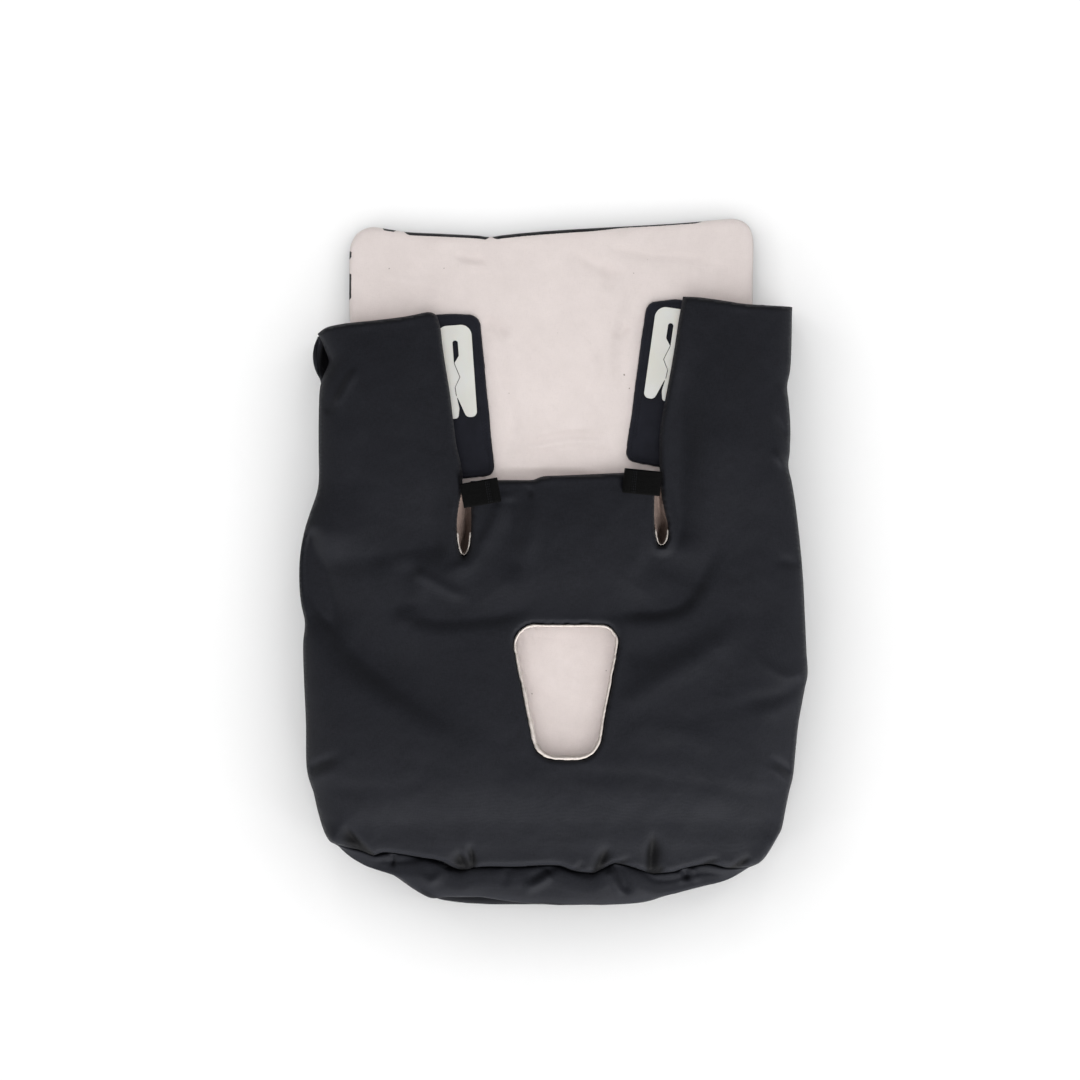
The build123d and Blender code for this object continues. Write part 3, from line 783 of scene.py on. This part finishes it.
# ------------------------------------------------------ back panel
BACK_EDGE = [
    (-148, -294), (-178, -280), (-198, -246), (-204.5, -200), (-205.5, -80), (-206.4, 80), (-208.6, 232),
    (-210.4, 262), (-210.4, 292), (-210, 321), (-207.2, 332), (-200.8, 340.6), (-188, 345.8), (-168, 343.4),
    (-150, 340.8), (-113, 339), (-78, 337.2), (-65, 335.8), (-52, 337.6), (-20, 340.8), (20, 343.6),
    (66, 346.2), (113, 348.8), (152, 351.6), (174, 353.8), (188, 354.2), (200.4, 349.2), (206.4, 337.6),
    (207.4, 321), (206.8, 292), (206.6, 250), (206, 80), (205.5, -80), (204.5, -200),
    (198, -246), (178, -280), (148, -294), (60, -297), (-60, -297),
]
BACK = spline(BACK_EDGE, FINE, True)
BACK_MIDDLE, BACK_HALF = 7.0, 6.8  # the back's middle height, and half its thickness
BACK_WRINKLES = [
    ([(-106, 319), (-88, 314), (-66, 312)], 3, 4, -2.4, (0.3, 0.3)),
    ([(-100, 308), (-84, 305), (-64, 303)], 3, 3, 1.9, (0.3, 0.3)),
    ([(20, 322), (44, 306), (78, 294)], 6, 8, -2.6, (0.3, 0.3)),
    ([(40, 330), (90, 318), (150, 312), (186, 300)], 5, 6, -2.1, (0.3, 0.3)),
    ([(-190, 300), (-150, 288), (-100, 284)], 7, 6, 1.9, (0.3, 0.3)),
    ([(-60, 120), (-20, 112), (30, 118), (70, 108)], 5, 6, -2.3, (0.3, 0.3)),
    ([(-66, 96), (0, 98), (60, 92)], 5, 5, 2.1, (0.3, 0.3)),
    ([(-64, 200), (-40, 150), (-52, 104)], 6, 6, -1.7, (0.3, 0.3)),
    ([(96, 300), (70, 230), (76, 160)], 7, 8, -1.9, (0.3, 0.3)),
    ([(20, 240), (40, 200), (30, 160)], 9, 9, 1.9, (0.3, 0.3)),
    ([(-70, 253), (-60, 245), (-42, 231)], 6, 8, -4.6, (0.2, 0.5)),
    ([(-36, 117), (-8, 127), (24, 131), (60, 128)], 4, 5, -3.6, (0.3, 0.3)),
    ([(52, 318), (58, 296), (54, 276)], 6, 6, -2.5, (0.3, 0.3)),
    ([(78, 246), (70, 236), (60, 232)], 4, 5, -2.5, (0.2, 0.4)),
]


def back_seam(points):
    """How far inside the panel's edge the dark back fabric shows from above."""
    x, y = points[:, 0], points[:, 1]
    top = y > 325
    left_run = smooth((x + 156) / 8) * smooth((-64 - x) / 6) * 3.7
    right_run = smooth((x + 65) / 8) * (1.9 * smooth((160 - x) / 14) + 2.1 * smooth((75 - x) / 40))
    dashes = 2.3 * ((y > 270) & (y < 297) | (y > 314) & (y < 320)) * (x < -190)
    nick = 2.4 * ((x > -176) & (x < -163) & top)
    return np.where(top, left_run + right_run + nick, dashes)


def back_top(points):
    edge = to_line(points, BACK, True)[0]
    z = BACK_MIDDLE + BACK_HALF * dome(edge, 10.0)
    crown = 1.6 * smooth(edge / 90)
    swell = 0.9 * ripple(points, 70, 8) + 0.35 * ripple(points, 26, 9)
    return z + smooth(edge / 12) * (creases(points, BACK_WRINKLES) + crown + swell)


def back_bottom(points):
    edge = to_line(points, BACK, True)[0]
    return BACK_MIDDLE - BACK_MIDDLE * dome(edge, 9.0)


b_verts, b_faces, b_under, _, b_rim = shell(BACK, [], [], back_top, back_bottom, FINE, 6.0)
edge = to_line(b_verts[:, :2], BACK, True)[0]
dark_edge = back_seam(b_verts[:, :2])
b_lining = np.clip((edge - dark_edge) / 4.0, -1, 1)
b_lining[np.unique(b_faces[b_under])] = -1.0
on_rim = list(b_rim.values())
b_lining[on_rim] = 0.2 - 0.3 * dark_edge[on_rim]
# painted shade: the dark edge is painted darker, for the shade along the fabric's edge
back = make("back_panel", b_verts, b_faces, CLOTH, b_lining, None, 0.8 * (edge < 6))
declare(back, "bag", layers("back"))

# ------------------------------------------------------ gusset: side walls and foot
seam_path = np.vstack([left_side[:-1], foot_seam[:-1], right_side])
stations = len(seam_path)
foot_from, foot_to = len(left_side) - 1, len(left_side) + len(foot_seam) - 2
edge_path = seam_path.copy()
foot_curve = resample(spline(FOOT_EDGE, 1.0), 1.0)
nearest_steps = np.linspace(0, len(foot_curve) - 1, foot_to - foot_from + 1).round().astype(int)
edge_path[foot_from:foot_to + 1] = foot_curve[nearest_steps]
# where the left wall's loose upper end bulges out past the seam
LEFT_BULGE = [(-240.6, 231), (-243.4, 217), (-243, 203), (-240, 193), (-237.5, 186)]
bulge = spline(LEFT_BULGE, 1.0)


def gusset_section(reach, width, loose, lip):
    """Points round the wall: the seam, the outside, the strip under the back's edge and the inside.
    reach is how far the seam lies inside the silhouette, width the strip's width, loose 1 where the
    wall hangs free, and lip how far the lower layer of the foot shows past the upper one."""
    f = min(max(reach / 38.0, 0.0), 1.0)
    two = float(smooth(lip / 2.5))

    def either(one_layer, two_layers):
        return tuple(a * (1 - two) + b * two for a, b in zip(one_layer, two_layers))

    side = [
        (0.9, 29.5), (0.6, 28.7), (0.3, 27.4), (0.1, 25.0), (0.0, 22.0), (0.0, 19.0), (0.3, 15.5),
        (0.9, 12.0), (2.2, 8.5), (4.6, 5.0), (8.0, 2.7), (width - 5, 1.0), (width - 0.8, 4.2),
        (width - 1.4, 9.0), (width - 9, 11.6), (23.0, 12.2), (15.5, 15.2), (12.8, 20.5), (8.6, 26.4),
    ]
    foot = [
        (reach, FOOT_LEVEL), (reach - 1.1, FOOT_LEVEL + 3.0), (reach - 3.6, FOOT_LEVEL + 4.6),
        (reach - 11, 39.4), (reach - 21, 39.2), either((3.6, 33.5), (lip + 2.0, 35.2)),
        either((0.6, 24.0), (lip - 0.4, 25.0)), either((0.7, 12.5), (lip + 1.0, 13.6)),
        either((0.6, 9.5), (min(2.6, 0.4 * lip), 12.6)),
        either((1.5, 6.0), (0.4, 9.0)), either((9.0, 1.6), (5.0, 2.4)),
        (width - 5, 1.0), (width - 0.8, 4.2), (width - 1.4, 9.0), (width - 9, 11.6), (26.0, 12.4),
        (19.0, 17.0), (24.0, 25.0), (reach - 3.5, 29.4),
    ]
    blend = [(a[0] * (1 - f) + b[0] * f, a[1] * (1 - f) + b[1] * f) for a, b in zip(side, foot)]
    blend[0] = (reach, None)  # the seam's own height is put in later
    if loose > 0:  # where the wall's upper edge hangs free of the cover
        hanging = {
            0: (2.0, 27.5), 1: (0.9, 27.0), 2: (0.4, 25.8),
            18: (4.6, 25.0), 17: (5.6, 20.0), 16: (6.8, 15.0), 15: (12.0, 12.2),
        }
        for k, (a, b) in hanging.items():
            x, z = blend[k][0], SIDE_LEVEL if blend[k][1] is None else blend[k][1]
            blend[k] = (x * (1 - loose) + a * loose, z * (1 - loose) + b * loose)
    return blend


# shares of the way round the section: closer together on the outside, which shows
SHARES = np.append(np.linspace(0, 0.45, 42, endpoint=False), np.linspace(0.45, 1, 22, endpoint=False))
AROUND = len(SHARES)
# how far the foot's lower layer shows, at places from left to right
LIP = ((-128, -110, -74, -38, 7, 40, 62), (0, 7.7, 11, 6, 2.6, 2, 0))
FOOT_CREASES = [
    ([(-164, -299), (-164, -306), (-165, -314)], 3, 3, -3.0, (0.0, 0.5)),
    ([(-110, -310), (-120, -321), (-131, -333)], 5, 9, 3.4, (0.1, 0.3)),
    ([(-104, -309), (-118, -316), (-133, -325)], 4, 6, -2.4, (0.0, 0.4)),
    ([(-2, -318), (-14, -328), (-32, -337)], 4, 7, 2.8, (0.1, 0.3)),
    ([(2, -311), (-12, -319), (-28, -328)], 3, 6, -2.4, (0.0, 0.4)),
    ([(63, -309), (69, -323), (77, -341)], 8, 3, -4.0, (0.0, 0.3)),
    ([(56, -315), (63, -328), (71, -342)], 4, 4, 2.4, (0.1, 0.3)),
    ([(134, -313), (136, -320), (137.5, -327)], 3, 3.5, -3.6, (0.0, 0.45)),
    ([(127, -315), (130, -323), (133, -330)], 3, 3, 1.4, (0.0, 0.4)),
    ([(142, -313), (146, -321), (149, -329)], 3.5, 3.5, 1.5, (0.0, 0.4)),
    ([(-46, -313), (-48, -322), (-52, -334)], 5, 5, -1.6, (0.0, 0.5)),
]
rows, openness = [], []
for i in range(stations):
    s, o = seam_path[i], edge_path[i].copy()
    if s[1] > 184 and s[0] < 0:
        o = bulge[np.argmin(abs(bulge[:, 1] - s[1]))]
    nearest = BACK[np.argmin(lengths_of(BACK - o))]
    width = np.linalg.norm(o - nearest)
    inward = (nearest - o) / width
    reach = np.linalg.norm(s - o)
    level = seam_level(s[None])[0]
    loose = float(smooth((s[1] - 186) / 9) * smooth((233 - s[1]) / 7)) if s[0] < 0 else 0.0
    openness.append(loose)
    lip = float(np.interp(o[0], *LIP)) if s[1] < -290 else 0.0
    section = gusset_section(reach, width, loose, lip)
    points = np.array([(a, level if b is None else b) for a, b in section])
    ring = spline([tuple(p) for p in points], 0.4, True)
    ring = np.roll(ring, -int(np.argmin(lengths_of(ring - points[0]))), axis=0)
    round_trip = np.vstack([ring, ring[:1]])
    steps = np.arange(len(round_trip))
    ring = np.stack([np.interp(SHARES * len(ring), steps, round_trip[:, c]) for c in (0, 1)], 1)
    xy = o + ring[:, :1] * inward
    xy[0] = s * (1 - loose) + xy[0] * loose
    ring[0, 1] = points[0, 1]
    rows.append(np.column_stack([xy, ring[:, 1]]))
wall = np.array(rows)
for _ in range(3):
    inner = wall[1:-1, 1:]
    wall[1:-1, 1:] = 0.5 * inner + 0.25 * (wall[:-2, 1:] + wall[2:, 1:])
flat = wall.reshape(-1, 3)
under_lip = np.array([np.interp(r[0, 0], *LIP) > 1 and r[0, 1] < -290 for r in wall])
# painted shade on the foot's lower layer, where it lies under the upper one
wall_painted_shade = np.outer(under_lip, (SHARES > 0.2) & (SHARES < 0.34)).reshape(-1) * 0.5
outer_half = np.tile(SHARES < 0.36, stations)
upper = np.tile(((SHARES < 0.3) & (SHARES > 0)) | (SHARES > 0.8), stations)
move = creases(flat[:, :2], FOOT_CREASES) * smooth(to_line(flat[:, :2], foot_seam)[0] / 3.0)
flat[:, 2] += np.where(upper, move * smooth((flat[:, 2] - 8) / 8), 0)
sway = ripple(np.column_stack([flat[:, 0] + flat[:, 1], flat[:, 2] * 2.5 + flat[:, 1] * 0.4]), 26, 12)
flat[:, 0] += np.where(outer_half & (flat[:, 2] > 3) & (flat[:, 2] < 27), 0.5 * sway, 0)
on_lining = np.tile((SHARES > 0.66) & (SHARES < 0.93), stations) & (np.repeat(openness, AROUND) <= 0)
wall_lining = np.where(on_lining, 1.0, -1.0)
FOOT_WALL_END = -250  # the side walls begin above this height in plan
left_end = int(np.argmin(abs(left_side[:, 1] - FOOT_WALL_END)))
right_start = foot_to + int(np.argmin(abs(right_side[:, 1] - FOOT_WALL_END)))


all_quads = np.array(tube_faces(stations, AROUND))
tri = np.vstack([all_quads[:, [0, 1, 2]], all_quads[:, [0, 2, 3]]])
wall_normals = vertex_normals(flat, tri)
GUSSETS = {
    "left_gusset": (0, left_end), "foot_gusset": (left_end, right_start),
    "right_gusset": (right_start, stations - 1),
}
for name, (first, last) in GUSSETS.items():
    rings = last - first + 1
    quads = tube_faces(rings, AROUND) + end_faces(rings, AROUND)
    own = slice(first * AROUND, (last + 1) * AROUND)
    fields = (wall_lining[own], wall_normals[own], wall_painted_shade[own])
    piece = make(f"{name}_wall", flat[own], quads, CLOTH, *fields)
    declare(piece, "bag", layers(name))


# ------------------------------------------------------ turned edges of the openings
def frames_on(path, closed, heights):
    """Centres, inward-pointing sides and upward directions for a sweep along a plan path."""
    step = directions(path, closed)
    across = np.column_stack([-step[:, 1], step[:, 0], np.zeros(len(path))])
    up = np.tile([0.0, 0.0, 1.0], (len(path), 1))
    return np.column_stack([path, heights]), across, up


def rim_piece(name, path, closed, thick, tall, above, node, seed, heavy=0.0):
    """A soft turned edge: a flattened tube that waves a little, and is thicker at its lower left by heavy."""
    angles = np.linspace(0, 2 * math.pi, 12, endpoint=False)
    section = [(thick * math.cos(a), tall * math.sin(a)) for a in angles]
    heights = cover_fields(path)[0] + above + 0.5 * ripple(path, 14, seed)
    centres, across, up = frames_on(path, closed, heights)
    bulk = 1 + 0.3 * ripple(path, 7, seed + 1) + 0.2 * ripple(path, 2.5, seed + 2)
    low_left = (path.mean(axis=0) - path) @ np.array([0.5, 0.85])  # how far towards the lower left
    bulk = (bulk + heavy * smooth(low_left / 60))[:, None, None]

    def wobble(v):
        return (v - centres[:, None]) * (bulk - 1)

    obj = sweep(name, centres, across, up, section, RIM_CLOTH, closed, wobble)
    declare(obj, "bag", [node])


hole_path = resample(shifted(HOLE, np.array(HOLE_CENTRE), 1.0), 1.6, True)
rim_piece("crotch_opening_rim", hole_path, True, 1.35, 3.2, 1.6, "crotch_opening_binding", 20, 0.7)


def slit_path(low, high, top):
    """The outline's run round the lower end of a slit, a little inside the slit."""
    ok = (OUTLINE[:, 0] > low) & (OUTLINE[:, 0] < high) & (OUTLINE[:, 1] < top) & (OUTLINE[:, 1] > 0)
    return shifted(resample(OUTLINE[ok], 1.4), np.array([(low + high) / 2, top - 4]), 0.5)


# each slit's two x values, its rim's top, its facing's top, and seeds
SLITS = {"left": (-99.5, -82, 33, 70, 30, 70), "right": (102, 119, 34, 76, 40, 75)}
FACING_LEVEL = 36.0
for side, (low, high, rim_top, top, rim_seed, seed) in SLITS.items():
    node = f"{side}_slit_binding"
    path = slit_path(low, high, rim_top)
    rim_piece(f"{side}_slit_rim", path, False, 0.8, 2.4, 1.4, node, rim_seed)

# lining turned in under the slits, meeting in a fold down the middle; its cloth is painted a shaded taupe,
# where the real lining is cream
for side, (low, high, rim_top, top, rim_seed, seed) in SLITS.items():
    edge = slit_path(low, high, top)
    middle = edge.mean(axis=0)
    pocket = shifted(edge, middle, -1.4)

    def facing_top(points):
        depth = to_line(points, pocket)[0]
        fold = crease(points, [(middle[0], top), (middle[0] + 0.8, 14)], 1.6, 2.4, -2.4, (0, 0.2))
        uneven = 0.7 * ripple(points * [3.0, 0.6], 9, seed) * smooth(depth / 3)
        return FACING_LEVEL - 7.0 * smooth(depth / 5.5) + fold + uneven

    def facing_bottom(points):
        return facing_top(points) - 1.0 * smooth(to_line(points, pocket)[0] / 2)

    f_verts, f_faces, _, _, _ = shell(pocket, [], [], facing_top, facing_bottom, 1.2, 2.4)
    facing = make(f"{side}_slit_facing", f_verts, f_faces, PAINTED_SHADE_FACING)
    declare(facing, "bag")

# gathering tape, just inside the foot seam
tape_path = resample(foot_seam + np.array([0, 9.0]), 3.0)[6:-6]
TAPE_LEVEL = 27.6
TAPE_SECTION = [
    (-4, -0.4), (-4, 0.4), (-1.3, 0.5), (1.3, 0.5), (4, 0.4), (4, -0.4), (1.3, -0.5), (-1.3, -0.5),
]
tape_run = frames_on(tape_path, False, TAPE_LEVEL + 0.5 * ripple(tape_path, 12, 50))
tape = sweep("foot_seam_tape", *tape_run, TAPE_SECTION, TAPE, False)
declare(tape, "bag", ["foot_seam_gathering_tape"])


# ------------------------------------------------------ shoulder pads
def centre_of(node):
    low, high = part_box(node)
    return (np.array(low) + np.array(high)) / 2 / MM


PAD_LEAN = {"left": 5.9, "right": -8.0}
AXIS, PAD_SCALE = np.array([-13.3, 22.4]), 1.009  # the pads fill out a little past their solids
# where each pad ends: its upper end at the outside, middle and inside, and its lower end at the outside
PAD_ENDS = {"left": (86.0, 84.6, 80.5, -84.0), "right": (87.0, 86.5, 79.0, -86.5)}
PAD_LEVEL = 18.9
PAD_STITCH = 4.6  # how far inside the edge the stitching runs
# from the pad's middle, x towards the bag's middle
PAD_SEAMS = [[(20, -14), (20.5, -60)], [(4, -14), (20, -14)]]
PADS = []


def stitches(name, lines, length=2.7, gap=1.1, thick=0.32):
    """Short threads along lines of points, each sunk at both ends."""
    step, sides = 0.5, 6
    a, b = int(length / step), int(gap / step)
    verts, faces = [], []
    for line in lines:
        line = resample(np.asarray(line, float), step)
        here = 0
        while here + a < len(line):
            run = line[here:here + a + 1:max(1, a // 3)]
            d = run[-1] - run[0]
            d /= max(np.linalg.norm(d), 1e-9)
            aside = np.array([-d[1], d[0], 0.0])
            start = len(verts)
            for k, p in enumerate(run):
                end = k in (0, len(run) - 1)
                size = thick * (0.55 if end else 1.0)
                lift = np.array([0, 0, -0.3 if end else 0.0])
                for t in range(sides):
                    out, up = size * math.cos(math.pi * t / 3), size * math.sin(math.pi * t / 3)
                    verts.append(p + lift + aside * out + np.array([0, 0, up]))
            # these rings run the other way round, so their faces are turned over
            faces += [(f[0], *f[:0:-1]) for f in tube_faces(len(run), sides, start)]
            faces += [f[::-1] for f in end_faces(len(run), sides, start)]
            here += a + b
    return make(name, verts, faces, THREAD)


for side in ("left", "right"):
    lean = math.radians(PAD_LEAN[side])
    turn = np.array([[math.cos(lean), -math.sin(lean)], [math.sin(lean), math.cos(lean)]])
    centre = centre_of(f"{side}_shoulder_pad_foam")[:2]
    inner = 1 if side == "left" else -1
    outer_top, middle_top, inner_top, outer_low = PAD_ENDS[side]
    corners = [
        (-27.5 * inner, outer_top, 8), (-27.5 * inner, outer_low, 8), (27.5 * inner, -84, 10),
        (28.2 * inner, inner_top, 12), (-1 * inner, middle_top, 40),
    ]
    local = rounded(corners if side == "left" else corners[::-1], 2.2)
    waver = 0.5 * ripple(local, 30, 60 + lean) + 0.3 * ripple(local, 4, 62)
    local += np.column_stack([waver, 0.3 * ripple(local, 4, 63)])

    def placed(points):
        return (points @ turn.T + centre - AXIS) * PAD_SCALE + AXIS

    outline = placed(local)

    def pad_top(points):
        edge = to_line(points, outline, True)[0]
        own = (points - centre) @ turn
        z = PAD_LEVEL + 4.4 * dome(edge, 4.0)
        stitch = 0.9 * np.exp(-(((edge - PAD_STITCH) / 1.2) ** 2)) * smooth(edge / 3)
        pucker = 0.35 * np.exp(-((edge / 6) ** 2)) * ripple(own, 3.5, 67)
        seams = [([(x * inner, y) for x, y in line], 1.0, 1.0, -0.8, (0.08, 0.08)) for line in PAD_SEAMS]
        swell = 0.3 * ripple(own, 16, 66) * smooth(edge / 9)
        return z - stitch + (pucker + creases(own, seams)) * smooth(edge / 2) + swell

    def pad_bottom(points):
        return PAD_LEVEL - 4.3 * dome(to_line(points, outline, True)[0], 4.0)

    p_verts, p_faces, _, _, _ = shell(outline, [], [], pad_top, pad_bottom, 1.8, 5.0)
    pad = make(f"{side}_shoulder_pad", p_verts, p_faces, PAD_CLOTH)
    PADS.append(pad)
    stood_for = [f"{side}_shoulder_pad_{k}" for k in ("cover", "foam", "backing")]
    declare(pad, f"{side}_pad", stood_for)

    inset = inset_ring(outline, PAD_STITCH if area_of(outline) > 0 else -PAD_STITCH)
    plan = [np.vstack([inset, inset[:1]])]
    plan += [placed(spline(line, 2.0) * np.array([inner, 1])) for line in PAD_SEAMS]
    threads = stitches(f"{side}_pad_stitching", [np.column_stack([run, pad_top(run) + 0.12]) for run in plan])
    declare(threads, f"{side}_pad")

# ------------------------------------------------------ hooks and rivets keep their own solids
for side in ("left", "right"):
    for kind, material, size in (("split_hook", PLASTIC, 0.0004), ("hook_rivets", METAL, 0.0002)):
        obj = NODES[f"{side}_{kind}"]
        obj.data.materials.clear()
        obj.data.materials.append(material)
        bevel = obj.modifiers.new("edge", "BEVEL")
        bevel.width, bevel.segments = size, 3
        bevel.limit_method, bevel.angle_limit = "ANGLE", math.radians(50)

# ------------------------------------------------------ webbing loops
LOOP_LEAN = {"left": 10.0, "right": -5.5}
LOOP_TUCK = {"left": 3.6, "right": 3.2}  # how far the loops reach towards the wings
# the turned end's line, along the loop and up
FOLD_SHAPE = [(10.6, 3.6), (12.8, 4.3), (15.4, 3.9), (17.0, 2.4), (17.7, 0.4), (17.5, -1.4)]
WEB_WIDTH, WEB_THICK = 25.0, 1.3
THREAD_LEVEL = 3.45
UP = np.array([0, 0, 1.0])
half_w, half_t = WEB_WIDTH / 2, WEB_THICK / 2
spread = np.linspace(half_w - 0.2, -half_w + 0.2, 15)
top_line = [(u, half_t * (1 - 0.35 * (abs(u) / half_w) ** 8)) for u in spread]
web_section = [(half_w, 0)] + top_line + [(-half_w, 0)] + [(u, -v) for u, v in reversed(top_line)]


def web(name, line, outward, centre, along, across, closed):
    """Webbing that follows a line given along the loop and up, on the side the outward directions give."""
    centres = centre + line[:, :1] * along + line[:, 1:] * UP
    normal = outward[:, :1] * along + outward[:, 1:] * UP
    return sweep(name, centres, np.tile(across, (len(line), 1)), normal, web_section, WEBBING, closed)


for side in ("left", "right"):
    lean = math.radians(LOOP_LEAN[side])
    along = np.array([math.cos(lean), math.sin(lean), 0]) * (1 if side == "left" else -1)
    across = np.array([-math.sin(lean), math.cos(lean), 0])
    centre = centre_of(f"{side}_webbing_loop")
    more = LOOP_TUCK[side]
    shape = [
        (-16.3 - more, 0.0), (-15.4 - more, -2.2), (-12.5 - more, -2.9), (-4, -2.8), (6, -2.9), (13, -2.9),
        (15.6, -2.2), (16.4, 0.0), (15.4, 2.2), (12.6, 3.0), (4, 2.7), (-5, 2.9), (-12.4 - more, 2.9),
        (-15.4 - more, 2.2),
    ]
    ring = spline(shape, 1.1, True)
    step = directions(ring)
    outward = np.column_stack([step[:, 1], -step[:, 0]])
    loop = web(f"{side}_loop_webbing", ring, outward, centre, along, across, True)
    declare(loop, f"{side}_loop", [f"{side}_webbing_loop"])

    # the webbing's turned end, and the rows of thread that hold it
    bend = spline(FOLD_SHAPE, 0.9)
    step = directions(bend, False)
    outward = np.column_stack([-step[:, 1], step[:, 0]])
    turned = web(f"{side}_loop_turned_end", bend, outward, centre, along, across, False)
    declare(turned, f"{side}_loop")
    wide = np.linspace(-11.3, 11.3, 24)[:, None] * across
    thread_rows = [centre + x * along + wide + THREAD_LEVEL * UP for x in (9.2, 7.4, 5.6)]
    tack = stitches(f"{side}_loop_tack", thread_rows, 2.0, 0.9, 0.3)
    declare(tack, f"{side}_loop", [f"{side}_loop_bar_tack"])


# ------------------------------------------------------ floor, lights and camera
FLOOR_CORNERS = [(-3000, -3000, -0.2), (3000, -3000, -0.2), (3000, 3000, -0.2), (-3000, 3000, -0.2)]
FLOOR_GREYS = [(0.86, 0.86, 0.86, 1), (0.88, 0.88, 0.88, 1)]
FLOOR_PAINT = plain_cloth("floor_paint", *FLOOR_GREYS, 5.0, 3.0, 0.0, 0.9, 0.0)
floor = make("floor", FLOOR_CORNERS, [(0, 1, 2, 3)], FLOOR_PAINT)

world = bpy.data.worlds.new("studio")
bpy.context.scene.world = world
world.use_nodes = True
background = world.node_tree.nodes["Background"]
background.inputs["Color"].default_value = (1.0, 1.0, 1.0, 1.0)
# a light tent: brightest in a band round the walls, so that light comes in from low on every side
tent = world.node_tree
toward = tent.nodes.new("ShaderNodeTexCoord")
split = tent.nodes.new("ShaderNodeSeparateXYZ")
band = tent.nodes.new("ShaderNodeValToRGB")
tent.links.new(toward.outputs["Generated"], split.inputs[0])
tent.links.new(split.outputs["Z"], band.inputs[0])
tent.links.new(band.outputs["Color"], background.inputs["Strength"])
ramp = band.color_ramp
ramp.elements[0].position, ramp.elements[0].color = 0.0, (1.0, 1.0, 1.0, 1)
ramp.elements[1].position, ramp.elements[1].color = 1.0, (0.04, 0.04, 0.04, 1)
for place, level in ((0.12, 0.75), (0.55, 0.68), (0.75, 0.06)):
    ramp.elements.new(place).color = (level, level, level, 1)


def lamp(name, place, size, power, pieces, lit):
    """A round soft light for the given pieces only, or for everything but them."""
    data = bpy.data.lights.new(name, "AREA")
    data.shape, data.size, data.energy = "DISK", size, power
    obj = bpy.data.objects.new(name, data)
    bpy.context.scene.collection.objects.link(obj)
    obj.location = place
    obj.rotation_euler = (Vector((0, 0, 0)) - Vector(place)).to_track_quat("-Z", "Y").to_euler()
    group = bpy.data.collections.new(f"{name}_receivers")
    for piece in pieces:
        group.objects.link(piece)
    obj.light_linking.receiver_collection = group
    for entry in group.collection_objects:
        entry.light_linking.link_state = "INCLUDE" if lit else "EXCLUDE"


hard_parts = [NODES[f"{side}_{k}"] for side in ("left", "right") for k in ("split_hook", "hook_rivets")]
low_pieces = [back, *PADS, *hard_parts]
lamp("overhead", (0, -0.35, 1.7), 1.6, 15.2, low_pieces, True)
lamp("opening_fill", (0.0135, -0.1325, 0.4), 0.2, 0.3, [back], True)
lamp("foot_side", (0.78, -2.12, 1.5), 1.1, 101.0, [floor, *low_pieces], False)
lamp("left_side", (-2.1, -1.35, 0.3), 0.9, 15.0, [floor, *low_pieces], False)
lamp("tent_roof", (0, 0, 2.0), 16.0, 250.0, [floor, *low_pieces], True)
WALL_LAMPS = 10
for k in range(WALL_LAMPS):
    turn_to = 2 * math.pi * k / WALL_LAMPS
    lamp(f"tent_wall_{k}", (2.4 * math.cos(turn_to), 2.4 * math.sin(turn_to), 1.05), 0.9, 8.6, [floor], True)

PHOTO_MM = 1.02  # one pixel of the photograph's 1080
VIEW_WIDTH = 1080 * PHOTO_MM * MM
AIM = (-13.3 * MM, 22.4 * MM)
CAMERA_HEIGHT, SUBJECT_HEIGHT = 2.4, 0.04
camera_data = bpy.data.cameras.new("camera")
camera_data.lens = camera_data.sensor_width * (CAMERA_HEIGHT - SUBJECT_HEIGHT) / VIEW_WIDTH
camera = bpy.data.objects.new("camera", camera_data)
bpy.context.scene.collection.objects.link(camera)
camera.location = (AIM[0], AIM[1], CAMERA_HEIGHT)
bpy.context.scene.camera = camera
bpy.context.scene.view_settings.view_transform = "Standard"
